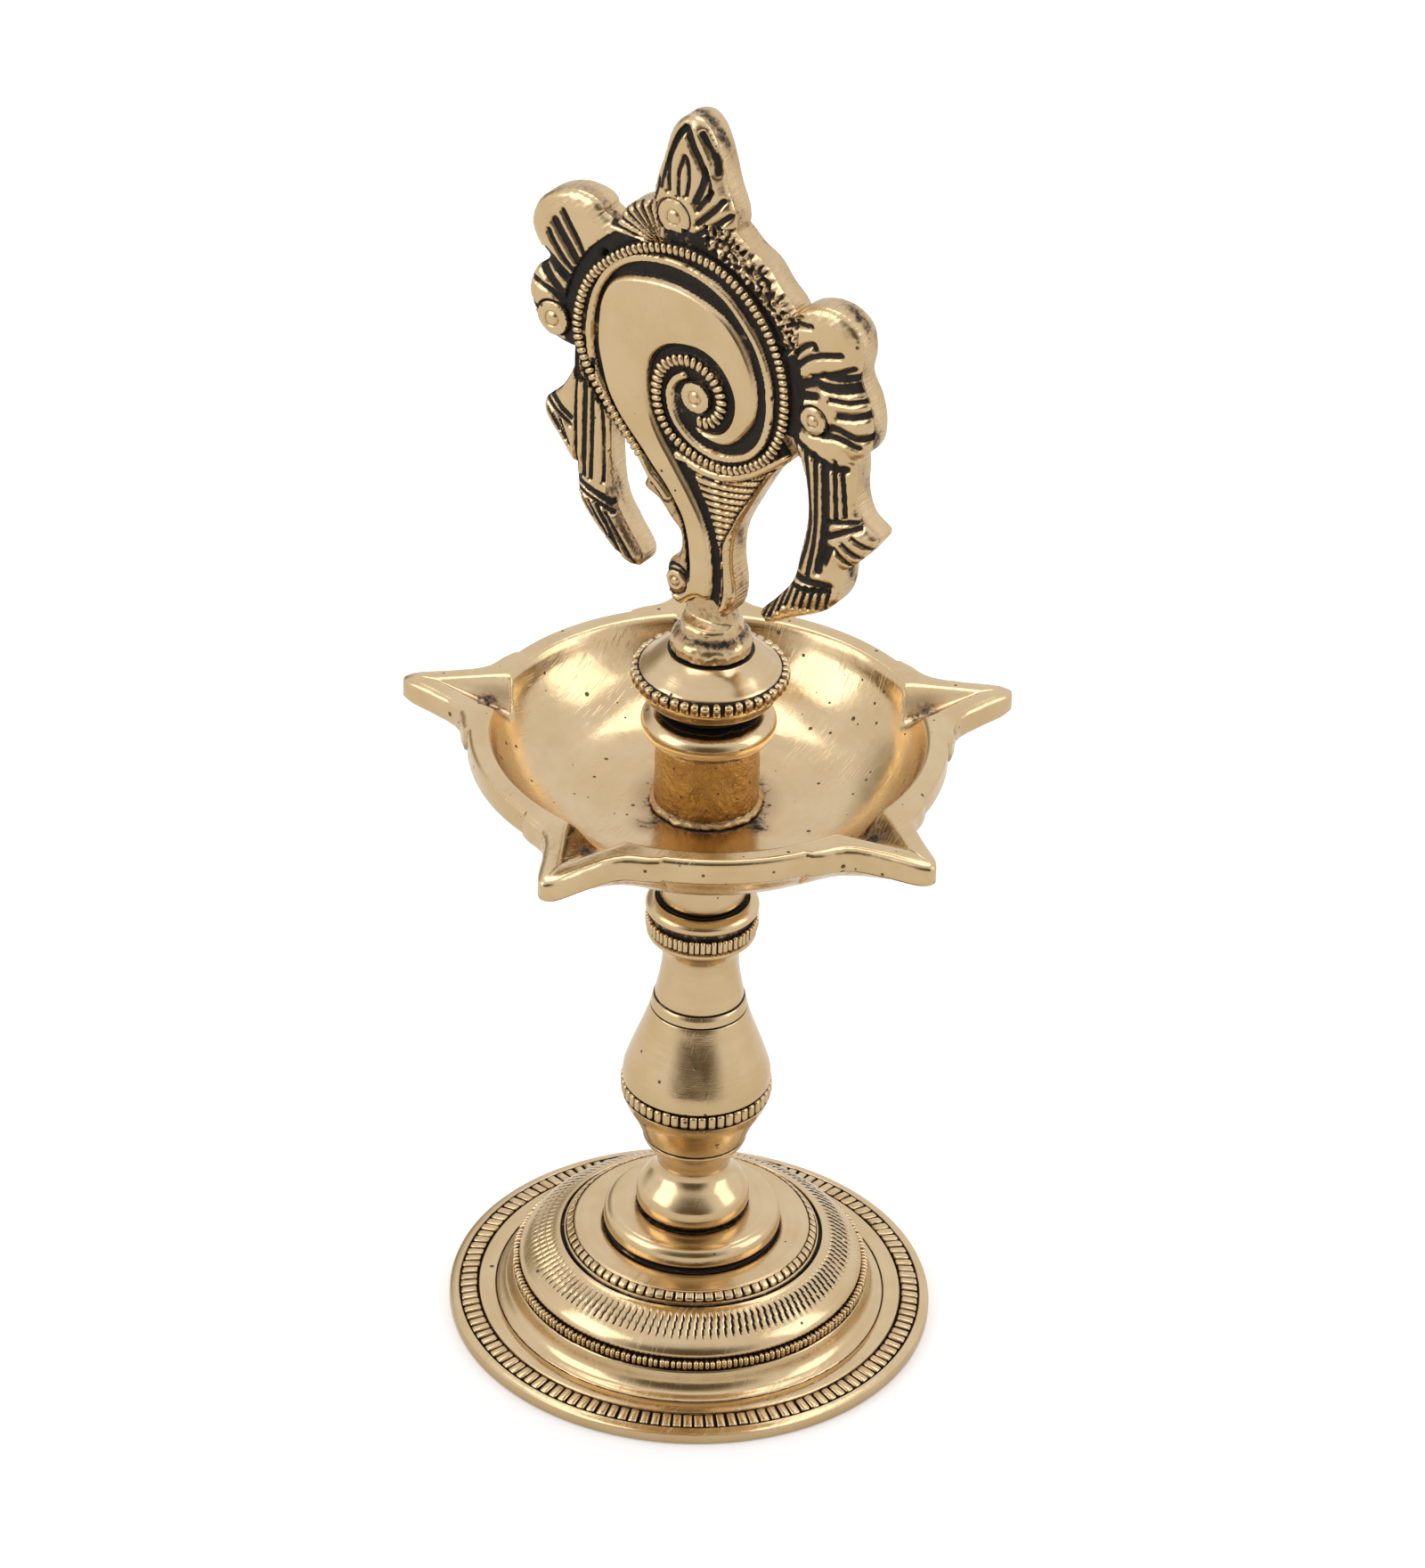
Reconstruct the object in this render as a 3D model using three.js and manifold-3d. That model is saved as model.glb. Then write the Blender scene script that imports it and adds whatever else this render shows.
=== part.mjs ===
// Brass standing oil lamp (samai) with a five-wick dish and a conch finial.
// Millimetres, +Z up. The origin is the centre of the foot's underside, on the surface it stands on,
// and the lamp's turned axis is Z. The conch faces -Y.
import * as THREE from "three";
import { mergeVertices } from "three/addons/utils/BufferGeometryUtils.js";
import Module from "manifold-3d";

const wasm = await Module();
wasm.setup();

// ---- Driving dimensions ----
const SEAM = 0.25; // open seam between two pieces that are stacked or soldered face to face
const THREAD_PLAY = 0.3; // radial play between a threaded rod and the hole it sits in
const TURN_SEGMENTS = 40; // facets round the foot and the dish
const SMALL_TURN_SEGMENTS = 32; // facets round the slim pieces

// Foot: a hollow casting with a solid hub
const FOOT_RADIUS = 36;
const FOOT_HEIGHT = 14.5;
const FOOT_EDGE = 1.8; // height of the upright outer edge
const FOOT_RIM_WIDTH = 6.8; // nearly flat land from the edge inwards
const FOOT_COVE_WIDTH = 2.7; // smooth band that rises from the land
const FOOT_COVE_TOP = 6.0;
const FOOT_BEAD_WIDTH = 1.0; // fine bead ring
const FOOT_BEAD_TOP = 8.0;
const FOOT_TORUS_WIDTH = 4.6; // round moulding with slanting cuts
const FOOT_TORUS_TOP = 12.3;
const FOOT_UPPER_RING_WIDTH = 3.0; // notched upper ring
const FOOT_WALL = 2.6;
const FOOT_REST_WIDTH = 4.6; // flat ring that the lamp stands on
const HUB_RADIUS = 8.5;
const HUB_FLOOR = 4.0; // metal left under the hub's blind hole

// Seat disc soldered on the foot
const SEAT_RADIUS = 13.2;
const SEAT_THICKNESS = 3.2;

// Knop under the vase
const KNOP_BASE_RADIUS = 8.4;
const KNOP_NECK_RADIUS = 5.4;
const KNOP_TOP_RADIUS = 7.8;
const KNOP_HEIGHT = 12.8;

// Vase
const VASE_HEIGHT = 41.5;
const VASE_BELLY_RADIUS = 11.1;
const VASE_BELLY_HEIGHT = 8.4; // above the vase's lower end
const VASE_NECK_RADIUS = 5.6;
const VASE_NECK_HEIGHT = 30.6;
const COLLAR_RADIUS = 8.3;
const COLLAR_HEIGHT = 6.6;

// Threaded rods, modelled as plain cylinders
const STEM_ROD_RADIUS = 3.2;
const STEM_ROD_IN_VASE = 12;
const DISH_ROD_RADIUS = 3.6;
const DISH_ROD_IN_VASE = 10;
const DISH_ROD_IN_BOSS = 9;
const FINIAL_ROD_RADIUS = 2.6;
const FINIAL_ROD_IN_SLEEVE = 8;
const FINIAL_ROD_IN_NECK = 4.2;
const ROD_SEGMENTS = 24;

// Dish
const BOSS_RADIUS = 6.4;
const BOSS_HEIGHT = 11.5; // from the collar's flat top to where it flares into the bowl
const BOWL_RADIUS = 31.5; // inside, at the rim
const BOWL_DEPTH = 12.0;
const BOWL_FLOOR_RADIUS = 15;
const DISH_FLOOR_THICKNESS = 3.3;
const RIM_WIDTH = 2.9;
const RIM_THICKNESS = 4.1;
const SPOUT_REACH = 11.6; // from the rim's outer edge to a spout's tip
const SPOUT_ROOT = 8.6; // half width where a spout leaves the rim
const SPOUT_TIP = 1.9; // half width at the blunt tip
const SPOUT_ANGLES = [52, 125, 198, 275, 348]; // degrees, as cast
const WICK_GROOVE_WIDTH = 7.5;
const WICK_GROOVE_DEPTH = 3.0;

// Sleeve in the middle of the dish
const SLEEVE_RADIUS = 7.8;
const SLEEVE_HEIGHT = 11.0;

// Finial
const RING_RADIUS = 9.8;
const RING_HEIGHT = 4.5;
const DISC_RADIUS = 11.3;
const DISC_HEIGHT = 9.6;
const DISC_SPIGOT_RADIUS = 6.7;
const DISC_SPIGOT_HEIGHT = 2.3;
const DISC_TOP_RADIUS = 6.2;
const NECK_RADIUS = 6.0;
const NECK_HEIGHT = 6.2;
const NECK_TOP_RADIUS = 4.6;

// Conch plaque, measured from its neck upwards and from the middle of its ring sideways
const PLAQUE_BACK = 2.2; // flat back, behind the lamp's axis
const PLAQUE_FRONT = 2.2; // sunk ground of the relief, in front of the axis
const RELIEF_HEIGHT = 1.2;
const RING_OFFSET = -5.0; // the ring's middle lies left of the lamp's axis
const RING_RISE = 39.6; // ring's middle above the plaque's lower end
const ROPE_OUTER_RADIUS = 18.1;
const ROPE_WIDTH = 2.1;

// ---- Heights, each from the piece below it ----
const footTop = FOOT_HEIGHT;
const seatBottom = footTop + SEAM;
const seatTop = seatBottom + SEAT_THICKNESS;
const knopBottom = seatTop + SEAM;
const knopTop = knopBottom + KNOP_HEIGHT;
const vaseBottom = knopTop + SEAM;
const vaseTop = vaseBottom + VASE_HEIGHT;
const bossBottom = vaseTop + SEAM;
const bossTop = bossBottom + BOSS_HEIGHT;
const bowlFloor = bossTop + DISH_FLOOR_THICKNESS + 1.2;
const rimTop = bowlFloor + BOWL_DEPTH;
const sleeveBottom = bowlFloor + SEAM;
const sleeveTop = sleeveBottom + SLEEVE_HEIGHT;
const ringBottom = sleeveTop + SEAM;
const ringTop = ringBottom + RING_HEIGHT;
const discBottom = ringTop + SEAM;
const discTop = discBottom + DISC_HEIGHT;
const neckBottom = discTop + SEAM;
const plaqueBottom = neckBottom + NECK_HEIGHT;

// ---- Shape helpers ----
function arc(centreR, centreZ, radiusR, radiusZ, fromDegrees, toDegrees, steps) {
  const points = [];
  for (let i = 0; i <= steps; i += 1) {
    const angle = THREE.MathUtils.degToRad(fromDegrees + ((toDegrees - fromDegrees) * i) / steps);
    points.push([centreR + radiusR * Math.cos(angle), centreZ + radiusZ * Math.sin(angle)]);
  }
  return points;
}

function smooth(points, steps) {
  const curve = new THREE.SplineCurve(points.map(([x, y]) => new THREE.Vector2(x, y)));
  return curve.getPoints(steps).map((point) => [point.x, point.y]);
}

function closedOutline(points, steps) {
  const corners = points.map(([x, y]) => new THREE.Vector3(x, y, 0));
  const curve = new THREE.CatmullRomCurve3(corners, true, "centripetal");
  return new THREE.Shape(curve.getPoints(steps).slice(0, -1).map((p) => new THREE.Vector2(p.x, p.y)));
}

// A solid of revolution about Z from [radius, height] points that start and end on the axis,
// or that close on themselves round a bore.
function turned(profile, segments = TURN_SEGMENTS) {
  const points = profile.map(([radius, height]) => new THREE.Vector2(radius, height));
  const geometry = new THREE.LatheGeometry(points, segments);
  geometry.rotateX(Math.PI / 2);
  return toSolid(geometry);
}

function rod(radius, bottom, top) {
  return turned([[0, bottom], [radius, bottom], [radius, top], [0, top]], ROD_SEGMENTS);
}

// An upright plate: the outline's x is X, its y is Z, and it runs from yBack forwards to yFront.
function plate(shape, yBack, yFront) {
  const geometry = new THREE.ExtrudeGeometry(shape, {
    depth: yBack + yFront, bevelEnabled: false, curveSegments: 8,
  });
  geometry.rotateX(Math.PI / 2);
  geometry.translate(0, yBack, 0);
  return toSolid(geometry);
}

function toSolid(geometry) {
  const bare = geometry.clone();
  bare.deleteAttribute("normal");
  bare.deleteAttribute("uv");
  const welded = mergeVertices(bare, 1e-4);
  const corners = welded.index.array;
  const kept = [];
  for (let i = 0; i < corners.length; i += 3) {
    const [a, b, c] = [corners[i], corners[i + 1], corners[i + 2]];
    if (a !== b && b !== c && c !== a) kept.push(a, b, c);
  }
  return new wasm.Manifold(new wasm.Mesh({
    numProp: 3,
    vertProperties: new Float32Array(welded.attributes.position.array),
    triVerts: new Uint32Array(kept),
  }));
}

function toGeometry(solid) {
  const { vertProperties, triVerts } = solid.getMesh();
  const geometry = new THREE.BufferGeometry();
  geometry.setAttribute("position", new THREE.BufferAttribute(vertProperties, 3));
  geometry.setIndex(new THREE.BufferAttribute(triVerts, 1));
  geometry.computeVertexNormals();
  return geometry;
}

function joined(solids) {
  return solids.reduce((whole, solid) => whole.add(solid));
}

// ---- Foot assembly ----
function makeFoot() {
  const landInner = FOOT_RADIUS - FOOT_RIM_WIDTH;
  const coveInner = landInner - FOOT_COVE_WIDTH;
  const beadInner = coveInner - FOOT_BEAD_WIDTH;
  const torusInner = beadInner - FOOT_TORUS_WIDTH;
  const upperOuter = torusInner - 1.4;
  const upperInner = upperOuter - FOOT_UPPER_RING_WIDTH;
  const restInner = FOOT_RADIUS - FOOT_REST_WIDTH;
  const hole = STEM_ROD_RADIUS + THREAD_PLAY;
  const roof = FOOT_TORUS_TOP - FOOT_WALL;
  return turned([
    [0, 0],
    [HUB_RADIUS, 0],
    ...arc(HUB_RADIUS + 2.4, roof - 2.4, 2.4, 2.4, 180, 90, 3),
    [torusInner - FOOT_WALL, roof],
    ...arc(torusInner - FOOT_WALL, FOOT_BEAD_TOP - FOOT_WALL, FOOT_TORUS_WIDTH,
      roof - FOOT_BEAD_TOP + FOOT_WALL, 70, 0, 3),
    [coveInner - 0.4, FOOT_COVE_TOP - FOOT_WALL - 0.8],
    [restInner - 1, 0.8],
    [restInner, 0],
    [FOOT_RADIUS - 0.3, 0],
    [FOOT_RADIUS, 0.3],
    [FOOT_RADIUS, FOOT_EDGE - 0.3],
    [FOOT_RADIUS - 0.4, FOOT_EDGE],
    [landInner + 0.8, 2.5],
    ...arc(landInner, FOOT_COVE_TOP, FOOT_COVE_WIDTH, FOOT_COVE_TOP - 2.6, 270, 180, 3),
    ...arc(beadInner, (FOOT_COVE_TOP + FOOT_BEAD_TOP) / 2, FOOT_BEAD_WIDTH, 1, -45, 90, 2),
    ...arc(torusInner, FOOT_BEAD_TOP, FOOT_TORUS_WIDTH, FOOT_TORUS_TOP - FOOT_BEAD_TOP, 0, 90, 5),
    [upperOuter + 0.3, FOOT_TORUS_TOP + 0.2],
    [upperOuter, FOOT_TORUS_TOP + 0.7],
    [upperInner, FOOT_HEIGHT - 0.4],
    [SEAT_RADIUS, FOOT_HEIGHT],
    [hole, FOOT_HEIGHT],
    [hole, HUB_FLOOR],
    [0, HUB_FLOOR],
  ]);
}

function makeSeatDisc() {
  const hole = STEM_ROD_RADIUS + THREAD_PLAY;
  return turned([
    [hole, seatBottom],
    [SEAT_RADIUS - 0.3, seatBottom],
    [SEAT_RADIUS, seatBottom + 0.4],
    [SEAT_RADIUS - 0.2, seatBottom + SEAT_THICKNESS / 2],
    [SEAT_RADIUS - 0.4, seatTop - 0.6],
    [SEAT_RADIUS - 1.0, seatTop],
    [hole, seatTop],
    [hole, seatBottom],
  ]);
}

// ---- Stem ----
function makeKnop() {
  const hole = STEM_ROD_RADIUS + THREAD_PLAY;
  const outside = smooth([
    [KNOP_BASE_RADIUS - 0.4, knopBottom],
    [KNOP_BASE_RADIUS, knopBottom + 1.4],
    [KNOP_BASE_RADIUS - 0.7, knopBottom + 3.4],
    [KNOP_NECK_RADIUS + 0.1, knopBottom + KNOP_HEIGHT * 0.46],
    [KNOP_NECK_RADIUS + 0.1, knopBottom + KNOP_HEIGHT * 0.62],
    [KNOP_TOP_RADIUS - 0.5, knopTop - 1.5],
    [KNOP_TOP_RADIUS, knopTop],
  ], 11);
  return turned([[hole, knopBottom], ...outside, [hole, knopTop], [hole, knopBottom]], SMALL_TURN_SEGMENTS);
}

function makeVase() {
  const lowerHole = STEM_ROD_RADIUS + THREAD_PLAY;
  const upperHole = DISH_ROD_RADIUS + THREAD_PLAY;
  const belly = vaseBottom + VASE_BELLY_HEIGHT;
  const neck = vaseBottom + VASE_NECK_HEIGHT;
  const collar = vaseTop - COLLAR_HEIGHT;
  const body = smooth([
    [KNOP_TOP_RADIUS + 0.1, vaseBottom],
    [VASE_BELLY_RADIUS - 1.4, vaseBottom + VASE_BELLY_HEIGHT * 0.38],
    [VASE_BELLY_RADIUS, belly],
    [VASE_BELLY_RADIUS - 1.9, belly + 7.4],
    [VASE_NECK_RADIUS + 1.6, neck - 8.6],
    [VASE_NECK_RADIUS + 0.3, neck - 3.6],
    [VASE_NECK_RADIUS, neck],
  ], 16);
  return turned([
    [0, vaseBottom + STEM_ROD_IN_VASE + SEAM],
    [lowerHole, vaseBottom + STEM_ROD_IN_VASE + SEAM],
    [lowerHole, vaseBottom],
    ...body,
    [VASE_NECK_RADIUS + 0.8, collar - 1.4],
    [COLLAR_RADIUS - 0.6, collar],
    [COLLAR_RADIUS - 0.2, collar + 1],
    [COLLAR_RADIUS, collar + 2.6],
    [COLLAR_RADIUS - 0.3, collar + 3.4],
    ...arc(COLLAR_RADIUS - 1.2, vaseTop - 1.5, 1.3, 1.5, -40, 90, 4),
    [upperHole, vaseTop],
    [upperHole, vaseTop - DISH_ROD_IN_VASE - SEAM],
    [0, vaseTop - DISH_ROD_IN_VASE - SEAM],
  ], SMALL_TURN_SEGMENTS);
}

// ---- Dish ----
function spoutShape() {
  const rimRadius = BOWL_RADIUS + RIM_WIDTH;
  const tip = rimRadius + SPOUT_REACH;
  const side = [
    [rimRadius - 1.6, SPOUT_ROOT + 2.6],
    [rimRadius - 0.2, SPOUT_ROOT],
    [rimRadius + 1.4, SPOUT_ROOT * 0.72],
    [rimRadius + SPOUT_REACH * 0.35, SPOUT_ROOT * 0.5],
    [tip - 2.6, SPOUT_TIP + 0.5],
    [tip - 0.9, SPOUT_TIP - 0.3],
    [tip, 0],
  ];
  const upper = smooth(side, 12);
  const lower = upper.slice(0, -1).reverse().map(([x, y]) => [x, -y]);
  const root = [rimRadius - 6, SPOUT_ROOT];
  return new THREE.Shape([root, ...upper, ...lower, [root[0], -root[1]]]
    .map(([x, y]) => new THREE.Vector2(x, y)));
}

function makeSpout(angle) {
  const geometry = new THREE.ExtrudeGeometry(spoutShape(), { depth: RIM_THICKNESS, bevelEnabled: false });
  geometry.translate(0, 0, rimTop - RIM_THICKNESS);
  geometry.rotateZ(angle);
  return toSolid(geometry);
}

// A V cut along a spout's top, from inside the bowl's wall to just short of the tip
function wickGroove(angle) {
  const rimRadius = BOWL_RADIUS + RIM_WIDTH;
  const start = BOWL_RADIUS - 4;
  const length = rimRadius + SPOUT_REACH - 2.2 - start;
  const half = WICK_GROOVE_WIDTH / 2;
  const section = new THREE.Shape([
    new THREE.Vector2(-half, 1), new THREE.Vector2(0, -WICK_GROOVE_DEPTH), new THREE.Vector2(half, 1),
  ]);
  const geometry = new THREE.ExtrudeGeometry(section, { depth: length, bevelEnabled: false });
  const position = geometry.attributes.position;
  for (let i = 0; i < position.count; i += 1) {
    const along = position.getZ(i) / length;
    position.setX(i, position.getX(i) * (1 - 0.62 * along));
    position.setY(i, position.getY(i) < 0 ? position.getY(i) * (1 - 0.6 * along) : 1);
  }
  geometry.rotateX(Math.PI / 2);
  geometry.rotateZ(Math.PI / 2);
  geometry.translate(start, 0, rimTop);
  geometry.rotateZ(angle);
  return toSolid(geometry);
}

function makeDish() {
  const rimRadius = BOWL_RADIUS + RIM_WIDTH;
  const rimBottom = rimTop - RIM_THICKNESS;
  const underside = smooth([
    [BOSS_RADIUS + 0.6, bossTop - 1.2],
    [BOSS_RADIUS + 3.4, bossTop + 0.5],
    [BOWL_FLOOR_RADIUS + 6, bowlFloor - DISH_FLOOR_THICKNESS],
    [BOWL_RADIUS - 2.5, (bowlFloor - DISH_FLOOR_THICKNESS + rimBottom) / 2],
    [rimRadius - 0.6, rimBottom],
  ], 12);
  const body = turned([
    [0, bossBottom],
    [BOSS_RADIUS - 0.3, bossBottom],
    [BOSS_RADIUS, bossBottom + 0.4],
    [BOSS_RADIUS, bossBottom + BOSS_HEIGHT - 3],
    ...underside,
    [rimRadius, rimBottom + 0.6],
    [rimRadius, rimTop],
    [0, rimTop],
  ]);
  const hollow = turned([
    [0, bowlFloor],
    [BOWL_FLOOR_RADIUS, bowlFloor],
    ...arc(BOWL_FLOOR_RADIUS, rimTop, BOWL_RADIUS - BOWL_FLOOR_RADIUS, BOWL_DEPTH, -78, 0, 6),
    [BOWL_RADIUS, rimTop + 3],
    [0, rimTop + 3],
  ]);
  const bore = rod(DISH_ROD_RADIUS + THREAD_PLAY, bossBottom - 1, bossBottom + DISH_ROD_IN_BOSS + SEAM);
  const angles = SPOUT_ANGLES.map((degrees) => THREE.MathUtils.degToRad(degrees));
  return joined([body, ...angles.map(makeSpout)])
    .subtract(joined([hollow, bore, ...angles.map(wickGroove)]));
}

function makeSleeve() {
  const hole = FINIAL_ROD_RADIUS + THREAD_PLAY;
  return turned([
    [hole, sleeveBottom],
    [SLEEVE_RADIUS + 0.5, sleeveBottom],
    [SLEEVE_RADIUS + 0.4, sleeveBottom + 0.7],
    [SLEEVE_RADIUS, sleeveBottom + 1.3],
    [SLEEVE_RADIUS - 0.2, sleeveTop],
    [hole, sleeveTop],
    [hole, sleeveBottom],
  ], SMALL_TURN_SEGMENTS);
}

// ---- Finial ----
function makeFinialRing() {
  const hole = FINIAL_ROD_RADIUS + THREAD_PLAY;
  const tube = RING_HEIGHT / 2;
  return turned([
    [hole, ringBottom],
    ...arc(RING_RADIUS - tube, ringBottom + tube, tube, tube, -90, 90, 6),
    [hole, ringTop],
    [hole, ringBottom],
  ], SMALL_TURN_SEGMENTS);
}

function makeFinialDisc() {
  const hole = FINIAL_ROD_RADIUS + THREAD_PLAY;
  const lip = discBottom + DISC_SPIGOT_HEIGHT;
  return turned([
    [hole, discBottom],
    [DISC_SPIGOT_RADIUS, discBottom],
    [DISC_SPIGOT_RADIUS, lip],
    ...arc(DISC_RADIUS - 2.4, lip + 0.9, 0.8, 0.9, -90, 60, 3),
    ...arc(DISC_RADIUS - 1.1, lip + 3.4, 1.1, 1.2, -70, 90, 4),
    [DISC_RADIUS - 1.5, lip + 4.8],
    [DISC_TOP_RADIUS, discTop],
    [hole, discTop],
    [hole, discBottom],
  ], SMALL_TURN_SEGMENTS);
}

// Outlines on the plaque are [right of the ring's middle, above the ring's middle].
function onPlaque(points, steps) {
  const rise = plaqueBottom + RING_RISE;
  return closedOutline(points.map(([x, y]) => [x + RING_OFFSET, y + rise]), steps);
}

function discOnPlaque(x, y, radius) {
  const shape = new THREE.Shape();
  shape.absarc(x + RING_OFFSET, y + plaqueBottom + RING_RISE, radius, 0, Math.PI * 2);
  return shape;
}

function flameOutline() {
  return onPlaque([
    [-5.6, 22], [-5.2, 26.5], [-3.9, 31], [-2.7, 35.2], [-0.8, 37.4], [1.6, 37.9], [3.6, 36.4],
    [5.2, 33], [6.5, 28.6], [8.2, 23.4], [5, 16], [-4, 17],
  ], 40);
}

function leftCloudOutline() {
  return onPlaque([
    [-4, 22.6], [-7.4, 22.4], [-10, 20.6], [-11.8, 17.6], [-14.4, 18.4], [-15.6, 14], [-8, 12],
  ], 24);
}

function rightCloudOutline() {
  return onPlaque([
    [7.4, 22.6], [10.6, 20.4], [13.4, 18.8], [15.6, 16.2], [18.4, 13.4], [19.6, 8], [12, 8], [6, 14],
  ], 26);
}

function leftOrnamentOutline() {
  return onPlaque([
    [-14, 19], [-18, 20.3], [-22, 19.2], [-25, 16.6], [-26, 13], [-24.6, 10], [-23, 8.4],
    [-25.2, 6], [-26.2, 2.4], [-25, -1.2], [-22, -3.8], [-17, -4], [-15, 2],
  ], 48);
}

function rightOrnamentOutline() {
  return onPlaque([
    [18.6, 13.4], [22, 15.6], [26, 15.6], [28.8, 13.6], [29.6, 10], [29.2, 6.6], [30.8, 3.4],
    [31.7, -0.6], [31, -4.2], [27.4, -6.8], [22, -6.6], [16, -5],
  ], 46);
}

function leftRibbonOutline() {
  return onPlaque([
    [-17.8, -2], [-18, -14], [-17.4, -25], [-16.8, -28.4], [-13, -32.6], [-9, -35.6], [-6.4, -35.8],
    [-6, -34], [-8.6, -30.2], [-10.8, -26.6], [-11.8, -20], [-12, -13], [-12.6, -4],
  ], 48);
}

function leftTasselOutline() {
  return onPlaque([
    [-17, -3], [-18.8, -8.4], [-20.4, -11.4], [-23.2, -14.4], [-23, -16.6], [-20.6, -19.6],
    [-17.6, -22.8], [-15, -18],
  ], 28);
}

function rightRibbonOutline() {
  return onPlaque([
    [17.6, -4], [20.2, -9], [21.6, -17], [20.6, -24], [19.6, -28.6], [17, -32.4], [14.4, -35.8],
    [15.4, -37], [20, -34.6], [24.8, -31.8], [27.4, -28.8], [28.2, -24], [26.6, -14], [26, -4],
  ], 52);
}

function rightTasselOutline() {
  return onPlaque([
    [25, -3], [29, -6], [29.4, -12], [30.6, -15.2], [33.3, -17.2], [32.4, -19], [29.4, -22.8],
    [27, -24.4], [25.6, -16],
  ], 32);
}

// The cone under the ring, the shell's tail and the strip beside it, down to the neck
function lowerOutline() {
  return onPlaque([
    [-14.6, -10], [-11.2, -14.4], [-7, -18.2], [-5.4, -20.2], [-5.8, -22.2], [-3.2, -23.6],
    [-1, -26], [0.5, -27.4], [0.5, -30.8], [-1.2, -32.8], [-1.5, -35.4], [0.4, -38.6], [5, -39.6],
    [9, -38.2], [10, -34.6], [9.3, -29], [9.8, -24.6], [12.2, -19.2], [15.8, -12.6], [18.6, -9], [0, 0],
  ], 72);
}

// The flat polished shell: a pear shape whose tail runs down to the neck
function shellOutline() {
  return onPlaque([
    [-13.7, 2], [-11.6, 7.6], [-6.6, 11], [-1, 11.6], [5, 10.4], [9.8, 6.4], [12.6, 0], [12.2, -6],
    [8.6, -9.8], [5, -8.4], [-4.6, -3.6], [-4.4, -8.6], [-1, -14], [3, -20], [5.6, -26.6],
    [5.6, -34], [3.6, -37.4], [1.8, -34.8], [2.2, -28], [0, -22.6], [-6, -15.4], [-11.2, -9],
    [-13.4, -3],
  ], 90);
}

function makeRope() {
  const front = PLAQUE_FRONT + RELIEF_HEIGHT;
  const outer = plate(discOnPlaque(0, 0, ROPE_OUTER_RADIUS), 0, front);
  const inner = plate(discOnPlaque(0, 0, ROPE_OUTER_RADIUS - ROPE_WIDTH), 1, front + 1);
  return outer.subtract(inner);
}

function makePlaque() {
  const front = PLAQUE_FRONT + RELIEF_HEIGHT;
  const outlines = [
    discOnPlaque(0, 0, ROPE_OUTER_RADIUS), flameOutline(), leftCloudOutline(), rightCloudOutline(),
    leftOrnamentOutline(), rightOrnamentOutline(), leftRibbonOutline(), leftTasselOutline(),
    rightRibbonOutline(), rightTasselOutline(), lowerOutline(),
  ];
  const bosses = [[-1.7, 22.3, 2.7], [-21.7, -0.6, 2.8], [22.3, -2, 2.1], [2.3, -4.9, 2.4], [0.2, -35.2, 1.7]];
  const neck = turned([
    [0, neckBottom],
    [NECK_RADIUS - 0.2, neckBottom],
    [NECK_RADIUS, neckBottom + 1.6],
    [NECK_RADIUS - 0.9, neckBottom + NECK_HEIGHT * 0.6],
    [NECK_TOP_RADIUS, plaqueBottom],
    [PLAQUE_FRONT, plaqueBottom + 3],
    [0, plaqueBottom + 3],
  ], 32);
  const socket = rod(FINIAL_ROD_RADIUS + THREAD_PLAY, neckBottom - 1, neckBottom + FINIAL_ROD_IN_NECK + SEAM);
  return joined([
    ...outlines.map((shape) => plate(shape, PLAQUE_BACK, PLAQUE_FRONT)),
    makeRope(),
    plate(shellOutline(), 0, front),
    ...bosses.map(([x, y, radius]) => plate(discOnPlaque(x, y, radius), 0, front)),
    neck,
  ]).subtract(socket);
}

// ---- Threaded rods ----
function makeStemRod() {
  return rod(STEM_ROD_RADIUS, HUB_FLOOR + SEAM, vaseBottom + STEM_ROD_IN_VASE);
}

function makeDishRod() {
  return rod(DISH_ROD_RADIUS, vaseTop - DISH_ROD_IN_VASE, bossBottom + DISH_ROD_IN_BOSS);
}

function makeFinialRod() {
  return rod(FINIAL_ROD_RADIUS, sleeveTop - FINIAL_ROD_IN_SLEEVE, neckBottom + FINIAL_ROD_IN_NECK);
}

// ---- The lamp ----
const polished = { color: 0xd4b47c, roughness: 0.22, metalness: 1 };
const cast = { color: 0xb08a45, roughness: 0.45, metalness: 1 };
const antiqued = { color: 0xc0a068, roughness: 0.32, metalness: 1 };

function named(name, solid, look) {
  const mesh = new THREE.Mesh(toGeometry(solid), new THREE.MeshStandardMaterial(look));
  mesh.name = name;
  return mesh;
}

const lamp = new THREE.Group();
lamp.add(
  named("foot", makeFoot(), antiqued),
  named("seat_disc", makeSeatDisc(), polished),
  named("stem_rod", makeStemRod(), cast),
  named("knop", makeKnop(), polished),
  named("vase", makeVase(), polished),
  named("dish_rod", makeDishRod(), cast),
  named("wick_dish", makeDish(), polished),
  named("sleeve", makeSleeve(), cast),
  named("finial_ring", makeFinialRing(), polished),
  named("finial_disc", makeFinialDisc(), antiqued),
  named("finial_rod", makeFinialRod(), cast),
  named("conch_plaque", makePlaque(), antiqued),
);

export default lamp;
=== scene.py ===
from math import cos, pi, radians, sin

import bpy
import numpy as np
from mathutils import Matrix, Vector


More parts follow.
